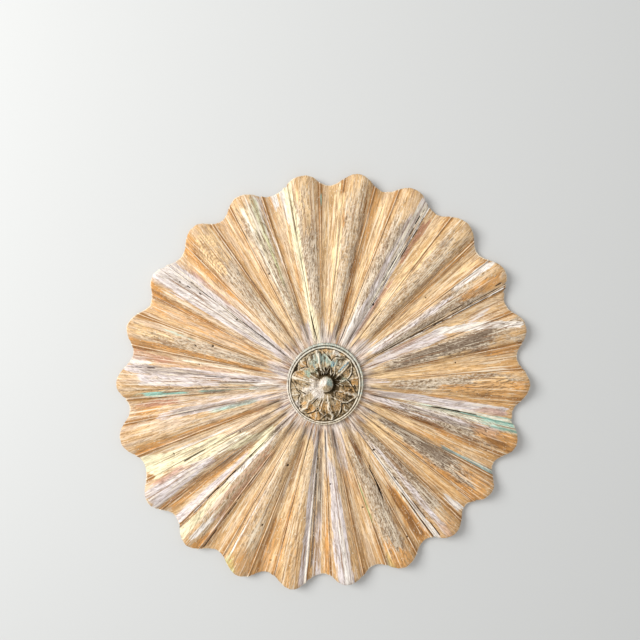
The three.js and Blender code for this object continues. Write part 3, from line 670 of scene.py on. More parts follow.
def stave_finish(piece, angle, radius, height, rim):
    """Stores a stave's finish on its points. Wear and shade hold weathered grey, brown staining that
    in the quirks is also painted shade, pale edges, and dark cuts with thin lines of painted shade
    along the quirks. Paint is the old paint's colour and cover. Wash is lime, growth rings and
    browned wood."""
    s, out = lobe_share(angle), outward(radius, rim)
    carved = height > 0
    patch = rougher(angle / 3, radius / 42, 63)

    colour, cover = paint_layers(angle, radius, PAINT_MARKS)
    warm = smooth(-0.25, 0.45, rougher(angle / 3.1, radius / 26, 65))[..., None]
    cool = smooth(0, 0.5, rougher(angle / 2.3, radius / 30, 66))[..., None]
    streak = smooth(0.12, 0.5, rougher(angle / 1.5, radius / 24, 67))[..., None]
    ring_colour = blend(srgb(244, 230, 218), srgb(204, 162, 122), warm)
    ring_colour = blend(ring_colour, srgb(186, 174, 176), cool)
    ring_colour = blend(ring_colour, srgb(116, 88, 66), 0.72 * streak)
    ring = smooth(104, 58, radius + 26 * rougher(angle / 4, radius / 36, 61))
    colour = blend(colour, ring_colour, (ring * 0.9)[..., None] * (1 - 0.8 * cover)[..., None])
    cover = np.maximum(cover, 0.85 * ring) * carved

    grey = lobe_value(angle, GREYED) * smooth(0.62, 0.3, s + 0.12 * rough(angle, radius / 30, 62))
    grey = grey * smooth(72, 110, radius) * smooth(1.02, 0.72, out + 0.25 * patch)
    # Brown staining along both quirks is partly wax and dirt and partly painted shade in these creases;
    # towards the rim it is browned wood.
    quirk = np.clip(hump(s, 0.53, 0.035) + hump(s, 0.625, 0.03), 0, 1)
    stain_and_shade = 0.7 * quirk * smooth(0.02, 0.2, out) + 0.35 * smooth(0.72, 0.98, out + 0.15 * patch)
    fillet = hump(s, FILLET_CREST, 0.017) * smooth(0.1, 0.4, out)
    edge = smooth(3.2, 0.6, rim - radius) * (height > 3)
    rubbed = 0.6 * edge * (0.7 + 0.6 * rough(angle / 2, radius / 50, 64))
    pale = np.clip(0.55 * fillet + rubbed, 0, 1)
    # Painted shade: thin dark lines along both quirks of every lobe, fuller on the reed's side, laid with the
    # cracks into the dark layer.
    thin = np.maximum(0.015, 0.9 / (np.radians(8.2) * radius))
    quirk_shade_lines = (hump(s, 0.528, thin) + 0.7 * hump(s, 0.64, thin)) * smooth(58, 70, radius)
    quirk_shade_lines = quirk_shade_lines * (0.46 + 0.32 * rougher(angle / 9, radius / 40, 68))
    dark = np.maximum(crack_cut(angle, radius)[1], 0.95 * quirk_shade_lines)
    wear_and_shade = [np.maximum(grey, 0.8 * ~carved), stain_and_shade, pale * carved, dark * carved]

    limed = lobe_value(angle, LIMED) * (0.75 + 0.35 * patch)
    browned = lobe_value(angle, BROWNED) * smooth(0, 0.75, out + 0.2 * patch)
    # The first stored values hold grey weathering, brown staining with painted shade in the quirks, pale
    # edges, and dark cuts with painted shade lines.
    put_values(piece, "wear_and_shade", wear_and_shade, [[0.8, 0.2, 0, 0], [0.5, 0, 0, 0]])
    put_values(piece, "paint", [*np.moveaxis(colour, -1, 0), cover])
    put_values(piece, "wash", [limed, growth_rings(angle, radius), browned, 1])


def petal_half(share):
    """Half the angle that a petal takes up, by the share of the radius: 30 degrees, then narrowing to
    its tip as a power of the way left."""
    return 30 * np.clip((0.915 - share) / 0.315, 0, 1) ** 0.75


def petal_height(rib, share):
    """Height of a petal: a ridge that falls to the tip and to both sides, hollowed between, and low
    towards the knob."""
    half = petal_half(share)
    across = np.clip(rib / np.maximum(half, 1e-6), 0, 1)
    ridge = blend(7.5, 13.0, smooth(0.93, 0.40, share))
    hollow = smooth(0.30, 0.42, share) * (1 - smooth(0.80, 0.90, share))
    height = ridge - 2.6 * across - 2.4 * np.sin(np.pi * across) * hollow
    height = height + 0.7 * hump(rib, 0, 2) * smooth(0.34, 0.5, share)
    return np.where(rib <= half, blend(7.5, height, smooth(0.215, 0.31, share)), -9)


def leaf_height(rib, share):
    """Height of a lower leaf between two petals: a low pad with a hollow either side of its middle."""
    along = np.clip((share - 0.56) / 0.365, 0, 1)
    width = 17 * np.sin(np.pi * along**0.9) ** 0.8
    away = 30 - rib
    across = np.clip(away / np.maximum(width, 1e-6), 0, 1)
    height = 6.6 - 1.2 * across - 1.2 * np.sin(np.pi * across) + 0.5 * hump(away, 0, 1.6)
    return np.where(away <= width, height, -9)


def hollow_ring(angle, share):
    """Depth of the hollows cut round the knob: a ring of pits, deep on the upper and right sides and
    shallow where old paint fills them, with thin ribs left standing where a random surface is near
    zero."""
    reach = 0.50 + 0.09 * rough(angle / 17, share * 0, 76)
    ring = smooth(0.20, 0.25, share) * smooth(reach, reach - 0.14, share)
    side = 0.12 + 0.88 * smooth(0, 1, np.cos(np.radians(angle - 45)) + 0.45)
    ribs = (1 - np.abs(rough(angle / 9.5 + 0.6 * rough(share * 6, angle / 30, 77), share * 1.6, 78))) ** 7
    return 5.0 * ring * side * (1 - 0.85 * ribs)


def knife_strokes(x, up):
    """Heights of the ribs and cuts, and where the ribs are: each stroke is a hump across a straight
    line between two points, by the distance from that line."""
    height, rib = np.zeros_like(x), np.zeros_like(x)
    for x1, up1, x2, up2, half, rise in ROSETTE_STROKES:
        run, lift = x2 - x1, up2 - up1
        along = np.clip(((x - x1) * run + (up - up1) * lift) / (run * run + lift * lift), 0, 1)
        away = np.hypot(x - x1 - along * run, up - up1 - along * lift)
        cut = hump(away, 0, 0.75 * half)
        height = height + rise * cut
        rib = np.maximum(rib, cut * (rise > 0))
    return height, rib


def bead_height(share):
    """Two rounded beads side by side round the edge, each a half ellipse."""
    height = np.full_like(share, 4.2)
    for centre, width, top in ((0.932, 0.024, 6.6), (0.976, 0.026, 6.4)):
        across = np.clip(np.abs(share - centre) / width, 0, 1)
        height = np.maximum(height, 4.2 + (top - 4.2) * np.sqrt(1 - across**2))
    return height


def rosette_height(angle, share, knob_top):
    """Height above the flat middle: a round knob, the highest of petal, leaf and ground less the
    hollows, then the beads, with knife strokes and fine marks over it. Also gives where the ribs
    are and where shade is painted: in the hollows round the knob, deepest on the upper and right
    sides, and in a thin band just outside the petals' edges."""
    inside = smooth(0.9, 0.8, share)
    x, up = share * np.sin(np.radians(angle)), share * np.cos(np.radians(angle))
    shaken_x, shaken_up = (v * ROSETTE_RADIUS + 0.5 * rough(x * 9, up * 9, k) for v, k in ((x, 79), (up, 80)))
    strokes, rib_at = knife_strokes(shaken_x, shaken_up)
    full_turn = smooth(0, 12, angle) * smooth(360, 348, angle)
    moved = angle + 5 * inside * rougher(angle / 24 + 7, share * 7, 73) * full_turn
    pushed = share * (1 + 0.08 * inside * rough(x * 4, up * 4, 74))
    regular = np.interp(moved, PETALS_CUT, -15 + 60 * np.arange(8))
    rib = np.abs((regular - 45 + 30) % 60 - 30)
    ground = 4.2 - 2.4 * hump(turn(299, angle), 0, 7) + 0.6 * rough(x * 12, up * 12, 81)
    carved = np.maximum(ground, np.maximum(leaf_height(rib, pushed), petal_height(rib, pushed)))
    hollow = hollow_ring(angle, pushed)
    carved = np.maximum(carved - hollow, np.minimum(carved, 2.6))
    past = (rib - petal_half(pushed)) * pushed
    # Painted shade: dark in the hollows by their depth, and in a thin band just outside the petals' edges.
    edge = smooth(-0.6, 0.3, past) * smooth(2.4, 0.5, past) * smooth(0.52, 0.62, share)
    hollow_and_edge_shade = 0.8 * np.clip(hollow / 4.5, 0, 1) + 0.85 * edge
    radial = rougher(moved / 3.4, share * 2.6, 82) * smooth(0.22, 0.4, share)
    chipped = rougher(x * 13, up * 13, 84)
    carved = carved + inside * (1.1 * radial + 0.7 * chipped + strokes)
    knob = blend(7.5, knob_top, np.sqrt(np.clip(1 - (share / KNOB_EDGE) ** 2, 0, 1)))
    knob = knob + 0.9 * rougher(x * 11, up * 11, 83) * smooth(0.2, 0.1, share)
    height = np.where(share > BEADS_START, bead_height(share), carved)
    height = np.where(share <= KNOB_EDGE, knob, height)
    marks = rougher(x * 26, up * 26, 71) + 0.7 * rougher(x * 60, up * 60, 72)
    height = height + 0.5 * marks * blend(0.5, 1.0, inside)
    return height, rib_at * inside, hollow_and_edge_shade * inside * (share > KNOB_EDGE)


def rosette_shape(sizes):
    """The rosette as a closed body: a grid of angle against share of the radius, a short wall and a
    plain flat underside just off the staves. It and its knob sit a little off the middle."""
    turns = np.linspace(0, 360, sizes.columns, endpoint=False)
    shares = np.concatenate([np.linspace(0.012, 0.9, sizes.rows), np.linspace(0.908, 1, 17), [1]])
    angle, share = np.meshgrid(turns, shares, indexing="ij")
    hub = sizes.stands_on * 1000
    underside = hub + 0.3
    height, rib_at, hollow_and_edge_shade = rosette_height(angle, share, sizes.knob_top * 1000)
    height = hub + height
    height[:, -1] = underside
    rim = oval_radius(turns, sizes.long_radius, sizes.short_radius, 9.4)[:, None] * 1000
    spread = 1.2 + 1.4 * np.cos(np.radians(angle - 30))
    radius = rim * share + spread * smooth(0.92, 1.0, share)
    points = polar_points(angle, radius, height).reshape(-1, 3)
    tips = polar_points(np.zeros(2), np.zeros(2), np.array([hub + sizes.knob_top * 1000, underside]))
    inner = smooth(0.5, 0.15, np.append(share.ravel(), [0, 1]))[:, None]
    points = np.concatenate([points, tips]) + ROSETTE_SHIFT + inner * KNOB_SHIFT

    grid = np.arange(angle.size).reshape(angle.shape)
    skin, cap, base = shell_faces(grid, np.roll(grid, -1, 0), angle.size, angle.size + 1)
    piece = put_mesh("rosette_carved_wood", points, [skin, cap], [base])
    rib_at[:, -1], hollow_and_edge_shade[:, -1] = 0, 0
    rosette_finish(piece, angle, share, height - hub, rib_at, hollow_and_edge_shade)
    put_map(piece, angle, share * ROSETTE_RADIUS, 0)
    return piece


def rosette_finish(piece, angle, share, height, rib_at, hollow_and_edge_shade):
    """Stores the rosette's finish on its points, under the same names as a stave's. Painted shade lies
    where the surface is lower than its surroundings, and pale rubbing where it is higher: its height
    less the mean of the heights round it. More painted shade lies in the hollows round the knob,
    just outside the petals' edges, at the foot of the knob, on the low ground, in the grooves of the
    beads and over the lower right half, mixed with random dirt."""
    around = sum(np.roll(height, k, 0) for k in (-9, -5, 5, 9)) / 4
    beyond = sum(np.roll(height, k, 1) for k in (-4, 4)) / 2
    beyond[:, :4], beyond[:, -5:] = height[:, :4], height[:, -5:]
    relief = height - (around + beyond) / 2
    x, up = share * np.sin(np.radians(angle)), share * np.cos(np.radians(angle))
    beads = smooth(0.9, 0.92, share)
    carved = share < 0.9
    # The grooves at the beads' edges take thin lines of painted shade.
    groove = hump(share, 0.955, 0.008) + hump(share, 0.903, 0.008)

    # Painted shade: darker where the surface is lower than round it, in the hollows and outside the petals'
    # edges, and in a ring at the foot of the knob.
    cavity_shade = 0.9 * np.clip(-relief / 1.5, 0, 1) + 0.7 * hollow_and_edge_shade
    cavity_shade = cavity_shade + 0.3 * smooth(0.27, 0.22, share) * smooth(0.17, 0.21, share)
    # Painted shade on the low ground; half of it also goes into the brown staining.
    low = 0.8 * smooth(4, 2, height) * carved
    grime = smooth(-0.1, 0.7, rougher(x * 9, up * 9, 75))
    # Painted shade over the lower right half, the side away from the light.
    shaded = smooth(200, 110, np.abs(turn(110, angle)) * 2) * carved
    splash = smooth(78, 40, np.abs(turn(250, angle))) * smooth(0.44, 0.30, share)
    # Dark layer: all of this painted shade with random dirt, lightened where white paint was splashed.
    dark = np.clip(cavity_shade + low + 0.6 * groove + 0.35 * grime + 0.18 * shaded, 0, 1) * (1 - 0.75 * splash)
    ridge = 0.6 * np.clip(relief, 0, 1) + 0.22 * rib_at
    ridge = np.clip(ridge + 0.28 * beads * (1 - groove), 0, 1)

    marks = {
        paint: [
            (at, at, start * ROSETTE_RADIUS, stop * ROSETTE_RADIUS, half, half, strength)
            for at, half, start, stop, strength in rows
        ]
        for paint, rows in ROSETTE_MARKS.items()
    }
    colour, cover = paint_layers(angle, share * ROSETTE_RADIUS, marks, 0.25)
    # The first stored values hold grey, painted shade of the low ground, pale ridges, and painted shade with
    # random dirt as the dark layer.
    put_values(piece, "wear_and_shade", [0.4 + 0.3 * beads, 0.5 * low, ridge, dark], [[0.3, 0, 0.6, 0], [0.8, 0, 0, 0]])
    put_values(piece, "paint", [*np.moveaxis(colour, -1, 0), cover])
    put_values(piece, "wash", [np.full(share.shape, 0.3), 0, 0.45, 1], [[0.3, 0, 0.45, 1]] * 2)


class Finish:
    """A material or a shader group being put together, node by node."""

    def __init__(self, tree):
        self.tree = tree

    def node(self, kind, values=None, **settings):
        """Adds a node. Each input named in values gets a link or a plain value."""
        made = self.tree.nodes.new(kind)
        for name, value in settings.items():
            setattr(made, name, value)
        for socket, value in (values or {}).items():
            if isinstance(value, bpy.types.NodeSocket):
                self.tree.links.new(value, made.inputs[socket])
            else:
                made.inputs[socket].default_value = value
        return made

    def value(self, operation, first, second=0.0, third=0.0):
        return self.node("ShaderNodeMath", {0: first, 1: second, 2: third}, operation=operation).outputs[0]

    def half(self, first, second):
        """The mean of two values."""
        return self.value("MULTIPLY_ADD", first, 0.5, self.value("MULTIPLY", second, 0.5))

    def step(self, value, low, high, start=0.0, end=1.0):
        """Goes smoothly from start to end while the value goes from low to high."""
        limits = {"Value": value, "From Min": low, "From Max": high, "To Min": start, "To Max": end}
        return self.node("ShaderNodeMapRange", limits, interpolation_type="SMOOTHSTEP").outputs["Result"]

    def mix(self, share, first, second, kind="MIX"):
        """Mixes two colours, each a link or a plain colour."""
        ends = [c if isinstance(c, bpy.types.NodeSocket) else (*c[:3], 1) for c in (first, second)]
        values = {0: share, 6: ends[0], 7: ends[1]}
        return self.node("ShaderNodeMix", values, data_type="RGBA", blend_type=kind).outputs[2]

    def noise(self, vector, stretch, detail, roughness):
        """Noise in a space that is stretched along each axis."""
        place = self.node("ShaderNodeMapping", {"Vector": vector, "Scale": stretch}).outputs["Vector"]
        values = {"Vector": place, "Scale": 1, "Detail": detail, "Roughness": roughness, "Distortion": 0}
        return self.node("ShaderNodeTexNoise", values).outputs["Fac"]


def new_group(name, inputs, outputs):
    """An empty shader group with named inputs and outputs. Each input is (name, kind, default)."""
    tree = bpy.data.node_groups.new(name, "ShaderNodeTree")
    for label, kind, default in inputs:
        socket = tree.interface.new_socket(label, in_out="INPUT", socket_type=kind)
        if default is not None:
            socket.default_value = default
    for label, kind in outputs:
        tree.interface.new_socket(label, in_out="OUTPUT", socket_type=kind)
    return tree


def fibre_group():
    """Wood fibre from a board's own coordinates in metres, with the grain along Z, and from the flat
    map: fine streaks, short open pores and specks from the board, and rays, long thin lines and
    broader streamers that run straight out from the middle."""
    noises = {
        "Streak": ("Board", (480, 300, 34), 4, 0.68), "Pores": ("Board", (680, 300, 110), 1, 0.5),
        "Speckle": ("Board", (520, 400, 260), 3, 0.7), "Ray": ("Map", (330, 9, 1), 4, 0.7),
        "Lines": ("Map", (620, 3.4, 1), 2, 0.6), "Streamers": ("Map", (260, 3.2, 1), 3, 0.6),
    }
    inputs = [("Board", "NodeSocketVector", None), ("Map", "NodeSocketVector", None)]
    tree = new_group("Wood fibre", inputs, [(name, "NodeSocketFloat") for name in noises])
    f = Finish(tree)
    given = f.node("NodeGroupInput").outputs
    made = {name: f.noise(given[place], *rest) for name, (place, *rest) in noises.items()}
    f.node("NodeGroupOutput", {**made, "Pores": f.step(made["Pores"], 0.57, 0.63)})
    return tree


def ragged_group():
    """Breaks the edge of a layer: the amount is pushed up and down by a streak and cut to a mask."""
    defaults = {"Amount": 0.0, "Streak": 0.5, "Raggedness": 0.8, "Softness": 0.25}
    inputs = [(name, "NodeSocketFloat", default) for name, default in defaults.items()]
    tree = new_group("Ragged layer", inputs, [("Mask", "NodeSocketFloat")])
    f = Finish(tree)
    given = f.node("NodeGroupInput").outputs
    push = f.value("MULTIPLY", f.value("SUBTRACT", given["Streak"], 0.5), given["Raggedness"])
    pushed = f.value("ADD", given["Amount"], push)
    low = f.value("SUBTRACT", 0.5, given["Softness"])
    high = f.value("ADD", 0.5, given["Softness"])
    some = f.step(given["Amount"], 0.02, 0.15)
    f.node("NodeGroupOutput", {"Mask": f.value("MULTIPLY", f.step(pushed, low, high), some)})
    return tree


def shared_groups():
    """The two shader groups that every wood material uses, made once."""
    groups = bpy.data.node_groups
    return groups.get("Wood fibre") or fibre_group(), groups.get("Ragged layer") or ragged_group()


def new_material(name):
    """An empty material and the Finish that fills it."""
    material = bpy.data.materials.new(name)
    material.use_nodes = True
    material.node_tree.nodes.clear()
    return material, Finish(material.node_tree)


def wood_finish(name, colours, rotation=0.0, offset=0.0, tone=1.0):
    """Old painted wood in layers: ochre wood with darker grain, thin lime wash, grey weathering,
    brown staining, which in the quirks and on the rosette's low ground is also painted shade, and
    broken, streaky paint, then pores, growth rings, long thin lines and pale specks over all of it,
    worn pale edges, and a dark layer of cracks together with painted shade in the quirks and in the
    rosette's hollows. The masks come from the piece's own stored values for weathering and shade,
    paint and wash."""
    fibre, ragged = shared_groups()
    material, f = new_material(name)
    place = f.node("ShaderNodeTexCoord").outputs
    board = f.node("ShaderNodeMapping", {
        "Vector": place["Object"], "Location": (offset, offset * 0.37, offset * 0.61),
        "Rotation": (0, rotation, 0),
    })
    wood = f.node("ShaderNodeGroup", node_tree=fibre)
    f.tree.links.new(board.outputs["Vector"], wood.inputs["Board"])
    f.tree.links.new(place["UV"], wood.inputs["Map"])
    streak, pores, speckle, ray, lines, streamers = wood.outputs
    fine, broken = f.half(ray, streak), f.half(ray, lines)
    wear_and_shade, paint, wash = (
        f.node("ShaderNodeAttribute", attribute_name=kind).outputs for kind in ("wear_and_shade", "paint", "wash")
    )
    (grey_amount, stain_and_shade_amount, pale_amount), (lime, rings, brown) = (
        f.node("ShaderNodeSeparateColor", {"Color": kind["Color"]}).outputs for kind in (wear_and_shade, wash)
    )

    def layer(amount, by, raggedness, softness):
        return f.node("ShaderNodeGroup", {
            "Amount": amount, "Streak": by, "Raggedness": raggedness, "Softness": softness,
        }, node_tree=ragged).outputs["Mask"]

    light, deep = ([c * tone for c in shade] for shade in (colours.wood_light, colours.wood_deep))
    grey = f.mix(f.step(speckle, 0.40, 0.53), colours.grey_dark, colours.grey_light)
    streaky = f.mix(f.step(broken, 0.40, 0.56), (0.74, 0.71, 0.70), (1.06, 1.06, 1.06))
    painted = f.mix(1.0, paint["Color"], streaky, "MULTIPLY")
    colour = f.mix(f.step(fine, 0.40, 0.58), deep, light)
    for mask, coat in (
        (f.value("MULTIPLY", brown, f.step(streamers, 0.62, 0.40, 0.30, 1.0)), colours.wood_amber),
        (f.value("MULTIPLY", lime, f.step(streamers, 0.42, 0.58, 0.25, 1.0)), colours.film),
        (f.step(streamers, 0.43, 0.36, 0.0, 0.36), colours.stain_and_shade),
        (layer(grey_amount, speckle, 1.2, 0.34), grey),
        # Brown staining from the stored values, which in the quirks and on the rosette's low ground is
        # painted shade.
        (layer(stain_and_shade_amount, ray, 0.8, 0.35), colours.stain_and_shade),
        (layer(paint["Alpha"], broken, 2.4, 0.24), painted),
    ):
        colour = f.mix(mask, colour, coat)
    shade = f.mix(f.step(fine, 0.40, 0.60), (0.70, 0.65, 0.58), (1.10, 1.10, 1.11))
    colour = f.mix(f.value("MULTIPLY_ADD", grey_amount, 0.35, 0.65), colour, shade, "MULTIPLY")
    for mask, coat in (
        (f.value("MULTIPLY", pores, f.value("MULTIPLY_ADD", grey_amount, 0.55, 0.25)), colours.pore),
        (f.value("MULTIPLY", rings, 0.55), colours.line),
        (f.step(lines, 0.41, 0.36, 0.0, 0.75), colours.line),
        (f.step(lines, 0.585, 0.63, 0.0, 0.70), colours.pale),
        (f.step(speckle, 0.60, 0.67, 0.0, 0.70), colours.pale),
        (layer(pale_amount, streak, 0.9, 0.3), colours.pale),
        # Dark layer: cracks and holes, with painted shade in the quirks and in the rosette's hollows and low
        # ground.
        (layer(wear_and_shade["Alpha"], streak, 0.4, 0.3), colours.crack_and_shade),
    ):
        colour = f.mix(mask, colour, coat)
    height = f.value("SUBTRACT", f.half(streak, speckle), f.value("MULTIPLY", pores, 0.35))
    relief = f.node("ShaderNodeBump", {"Strength": 0.7, "Distance": 0.0008, "Height": height})
    skin = f.node("ShaderNodeBsdfPrincipled", {
        "Base Color": colour, "Roughness": f.step(speckle, 0.35, 0.7, 0.66, 0.86),
        "Specular IOR Level": 0.3, "Normal": relief.outputs["Normal"],
    })
    f.node("ShaderNodeOutputMaterial", {"Surface": skin.outputs[0]})
    return material


def length_property(label, note, metres):
    """A length that a user can change."""
    return bpy.props.FloatProperty(
        name=label, description=note, default=metres, unit="LENGTH", precision=4, min=0.0
    )


def colour_property(label, note, *screen):
    """A colour that a user can change, given as screen values."""
    return bpy.props.FloatVectorProperty(
        name=label, description=note, default=tuple(srgb(*screen)), size=3, subtype="COLOR", min=0.0, max=1.0
    )


def count_property(label, note, number):
    """A number of points that a user can change."""
    return bpy.props.IntProperty(name=label, description=note, default=number, min=8, max=600)


class StaveSettings(bpy.types.PropertyGroup):
    """Sizes of the fluted field."""

    rim_long: length_property("Long radius", "Largest radius of the line through the lobe tips", 0.3086)
    rim_short: length_property("Short radius", "Smallest radius of the line through the lobe tips", 0.2908)
    rim_lift: length_property("Rim lift", "How far the rim sits above the middle of the rosette", 0.0027)
    rim_axis: bpy.props.FloatProperty(
        name="Long axis", description="Direction of the long radius, clockwise from the top",
        default=math.radians(42.5), subtype="ANGLE", unit="ROTATION",
    )
    lobe_depth: length_property("Lobe depth", "How far the notches cut in from the tips", 0.016)
    hub_height: length_property("Hub height", "Thickness of the flat middle", 0.0235)
    crest_at_rim: length_property("Crest at rim", "Height of a lobe's crest at the rim", 0.0195)
    flute_at_rim: length_property("Flute at rim", "Height of a flute's bottom at the rim", 0.0065)
    joint_gap: length_property("Joint gap", "Space between two staves", 0.0003)
    grain_depth: length_property("Grain depth", "Height of the raised wood fibres", 0.00028)
    rows: count_property("Rows", "Rows of points between the hub and the rim", 130)


class RosetteSettings(bpy.types.PropertyGroup):
    """Sizes of the carved rosette."""

    long_radius: length_property("Long radius", "Largest radius of the rosette", 0.057)
    short_radius: length_property("Short radius", "Smallest radius of the rosette", 0.0532)
    knob_top: length_property("Knob height", "Height of the knob above the flat middle", 0.020)
    stands_on: length_property("Stands on", "Height of the flat middle under the rosette", 0.0235)
    columns: count_property("Columns", "Points round the rosette", 480)
    rows: count_property("Rows", "Points from the knob to the beads", 104)


class WoodSettings(bpy.types.PropertyGroup):
    """Colours of the old painted wood."""

    wood_light: colour_property("Light wood", "Bare honey-coloured wood", 243, 213, 163)
    wood_deep: colour_property("Deep grain", "Darker lines of the grain", 206, 168, 114)
    wood_amber: colour_property("Amber band", "Broad warmer bands in the wood", 226, 174, 106)
    grey_light: colour_property("Light grey", "Weathered fibre", 218, 202, 180)
    grey_dark: colour_property("Dark grey", "Weathered hollows between fibres", 140, 118, 94)
    pore: colour_property("Pore", "Open pores", 98, 76, 56)
    # Also the colour of the painted shade in the quirks.
    stain_and_shade: colour_property("Stain", "Brown wax and dirt in the quirks", 180, 132, 78)
    pale: colour_property("Worn edge", "Pale rubbed edges", 246, 232, 208)
    # Also the colour of the thin painted shade lines along the quirks.
    crack_and_shade: colour_property("Crack", "Inside of cracks and holes", 58, 40, 26)
    film: colour_property("Film", "Thin film of old lime wash", 230, 212, 197)
    line: colour_property("Dark line", "Long thin lines of dirt", 150, 110, 74)


class RosetteWoodSettings(bpy.types.PropertyGroup):
    """Colours of the rosette."""

    wood_light: colour_property("Light wood", "Rubbed leaves", 222, 198, 154)
    wood_deep: colour_property("Deep grain", "Darker lines of the grain", 160, 132, 88)
    wood_amber: colour_property("Amber band", "Warmer bands", 192, 150, 92)
    grey_light: colour_property("Light grey", "Weathered fibre", 204, 190, 166)
    grey_dark: colour_property("Dark grey", "Weathered hollows", 128, 110, 82)
    pore: colour_property("Pore", "Open pores", 84, 66, 40)
    # Also the colour of the painted shade on the rosette's low ground.
    stain_and_shade: colour_property("Stain", "Olive dirt on the low ground", 112, 88, 46)
    pale: colour_property("Worn ridge", "Pale rubbed ridges", 236, 226, 206)
    # The colour of the painted shade in the rosette's hollows, grooves and low ground, mixed with random
    # dirt.
    crack_and_shade: colour_property("Recess", "Dirt in the deepest cuts", 74, 58, 32)
    film: colour_property("Film", "Thin film of old paint", 196, 196, 176)
    line: colour_property("Dark line", "Long thin lines of dirt", 110, 88, 54)


class StageSettings(bpy.types.PropertyGroup):
    """Camera, light and backdrop."""

    lens: bpy.props.FloatProperty(
        name="Lens", description="Focal length on a 36 mm wide sensor", default=30.0, unit="CAMERA", min=1.0
    )
    camera_right: bpy.props.FloatProperty(
        name="Camera right", description="Camera's place along X", default=-0.0048, unit="LENGTH"
    )
    camera_front: length_property("Camera distance", "Camera's distance in front of the back", 0.783)
    camera_up: bpy.props.FloatProperty(
        name="Camera height", description="Camera's place along Z", default=-0.059, unit="LENGTH"
    )
    key_watts: bpy.props.FloatProperty(
        name="Key light", description="Power of the soft key light", default=62.5, unit="POWER", min=0.0
    )
    key_size: length_property("Key size", "Side of the square key light", 1.3)
    fill: bpy.props.FloatProperty(
        name="Fill", description="Strength of the even light from all round", default=0.585, min=0.0
    )
    backdrop: colour_property("Backdrop", "Plain pale wall and floor", 206, 208, 208)


class MEDALLION_OT_staves(bpy.types.Operator):
    """Makes the nine fluted staves and their old paint"""

    bl_idname = "medallion.staves"
    bl_label = "Nine staves"
    bl_options = {"REGISTER", "UNDO"}

    def execute(self, context):
        scene = context.scene
        for number in range(len(JOINTS)):
            piece, middle = stave_shape(number, scene.medallion_staves)
            material = wood_finish(
                f"Old painted wood {number + 1}", scene.medallion_wood,
                rotation=-math.radians(middle), offset=0.173 * number, tone=TONES[number],
            )
            piece.data.materials.append(material)
            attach(piece, "root")
            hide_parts(f"stave_{number + 1}")
        return {"FINISHED"}


class MEDALLION_OT_rosette(bpy.types.Operator):
    """Makes the carved rosette with its knob, petals, leaves and beads"""

    bl_idname = "medallion.rosette"
    bl_label = "Rosette"
    bl_options = {"REGISTER", "UNDO"}

    def execute(self, context):
        scene = context.scene
        piece = rosette_shape(scene.medallion_rosette)
        material = wood_finish("Carved rosette wood", scene.medallion_rosette_wood, offset=1.9)
        piece.data.materials.append(material)
        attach(piece, "root")
        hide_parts("rosette")
        return {"FINISHED"}


def backdrop_shape():
    """A floor, a quarter-round cove and a wall in one sheet: a profile carried along X."""
    wall_y, floor_z, cove = 0.0025, -0.80, 0.2
    bend = np.radians(np.linspace(0, 90, 17))
    y = np.concatenate([[-3.0], wall_y - cove + cove * np.sin(bend), [wall_y]])
    z = np.concatenate([[floor_z], floor_z + cove - cove * np.cos(bend), [2.2]])
    x = np.array([-2.5, 2.5])
    points = np.stack([np.repeat(x, len(y)), np.tile(y, 2), np.tile(z, 2)], -1)
    grid = np.arange(2 * len(y)).reshape(2, len(y))
    faces = np.stack([grid[0, :-1], grid[1, :-1], grid[1, 1:], grid[0, 1:]], -1)
    return put_mesh("backdrop", points, [faces])


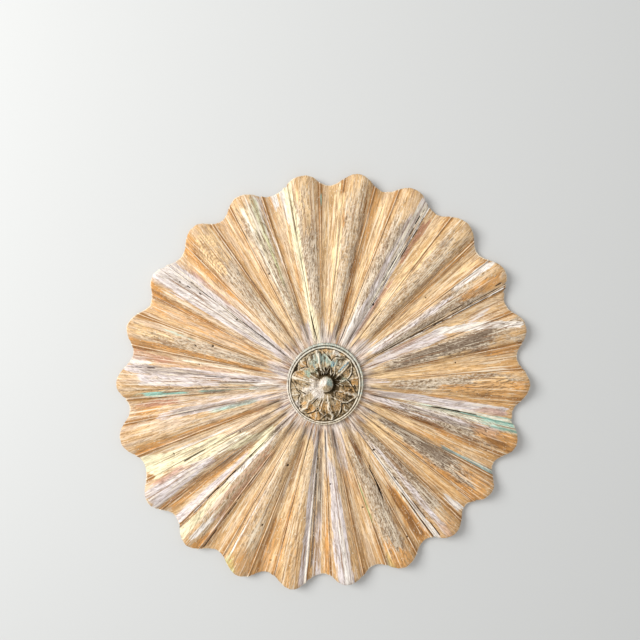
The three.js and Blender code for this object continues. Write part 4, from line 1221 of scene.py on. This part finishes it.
class MEDALLION_OT_stage(bpy.types.Operator):
    """Makes the plain backdrop, the soft light and the camera"""

    bl_idname = "medallion.stage"
    bl_label = "Stage"
    bl_options = {"REGISTER", "UNDO"}

    def execute(self, context):
        scene = context.scene
        stage = scene.medallion_stage
        sheet = backdrop_shape()
        material, f = new_material("Plain backdrop")
        matt = f.node("ShaderNodeBsdfPrincipled", {
            "Base Color": (*stage.backdrop, 1), "Roughness": 0.9, "Specular IOR Level": 0.2,
        })
        clear = f.node("ShaderNodeBsdfTransparent")
        behind = f.node("ShaderNodeNewGeometry").outputs["Backfacing"]
        either = f.node("ShaderNodeMixShader", {0: behind, 1: matt.outputs[0], 2: clear.outputs[0]})
        f.node("ShaderNodeOutputMaterial", {"Surface": either.outputs[0]})
        sheet.data.materials.append(material)
        # Soft light passes through the sheet, so the hidden side is lit as well.
        sheet.visible_diffuse = False

        world = bpy.data.worlds.new("Even light")
        world.use_nodes = True
        light = world.node_tree.nodes["Background"].inputs
        light["Color"].default_value = (1.0, 0.99, 0.98, 1)
        light["Strength"].default_value = stage.fill
        scene.world = world

        lamp = bpy.data.lights.new("Soft key", "AREA")
        lamp.size = stage.key_size
        lamp.energy = stage.key_watts
        lamp.color = (1.0, 0.985, 0.965)
        key = bpy.data.objects.new("Soft key", lamp)
        scene.collection.objects.link(key)
        # The key light stands 2.6 m off, up and to the left, and faces the middle of the disc.
        turned, lift = math.radians(293), math.radians(43)
        sideways = math.cos(lift)
        away = np.array([math.sin(turned) * sideways, -math.sin(lift), math.cos(turned) * sideways])
        key.location = np.array([0.0, 0.0, MIDDLE_Z]) + 2.6 * away
        key.rotation_euler = Vector(-away).to_track_quat("-Z", "Y").to_euler()

        camera_data = bpy.data.cameras.new("Camera")
        camera_data.lens = stage.lens
        camera_data.sensor_width = 36
        camera = bpy.data.objects.new("Camera", camera_data)
        scene.collection.objects.link(camera)
        camera.location = (stage.camera_right, -stage.camera_front, stage.camera_up)
        camera.rotation_euler = (math.pi / 2, 0, 0)
        scene.camera = camera
        scene.view_settings.view_transform = "Standard"
        return {"FINISHED"}


class MEDALLION_PT_panel(bpy.types.Panel):
    """Lists the steps in order"""

    bl_idname = "MEDALLION_PT_panel"
    bl_label = "Medallion"
    bl_space_type = "VIEW_3D"
    bl_region_type = "UI"
    bl_category = "Medallion"

    def draw(self, context):
        for step in STEPS:
            self.layout.operator(step.bl_idname)


STEPS = (MEDALLION_OT_stage, MEDALLION_OT_staves, MEDALLION_OT_rosette)
SETTINGS = {
    "medallion_staves": StaveSettings, "medallion_rosette": RosetteSettings,
    "medallion_wood": WoodSettings, "medallion_rosette_wood": RosetteWoodSettings,
    "medallion_stage": StageSettings,
}


def register():
    for name, group in SETTINGS.items():
        bpy.utils.register_class(group)
        setattr(bpy.types.Scene, name, bpy.props.PointerProperty(type=group))
    for step in (*STEPS, MEDALLION_PT_panel):
        bpy.utils.register_class(step)


def unregister():
    for step in reversed((*STEPS, MEDALLION_PT_panel)):
        bpy.utils.unregister_class(step)
    for name, group in reversed(SETTINGS.items()):
        delattr(bpy.types.Scene, name)
        bpy.utils.unregister_class(group)


def main():
    register()
    bpy.ops.medallion.stage()
    bpy.ops.medallion.staves()
    bpy.ops.medallion.rosette()


if __name__ == "__main__":
    main()
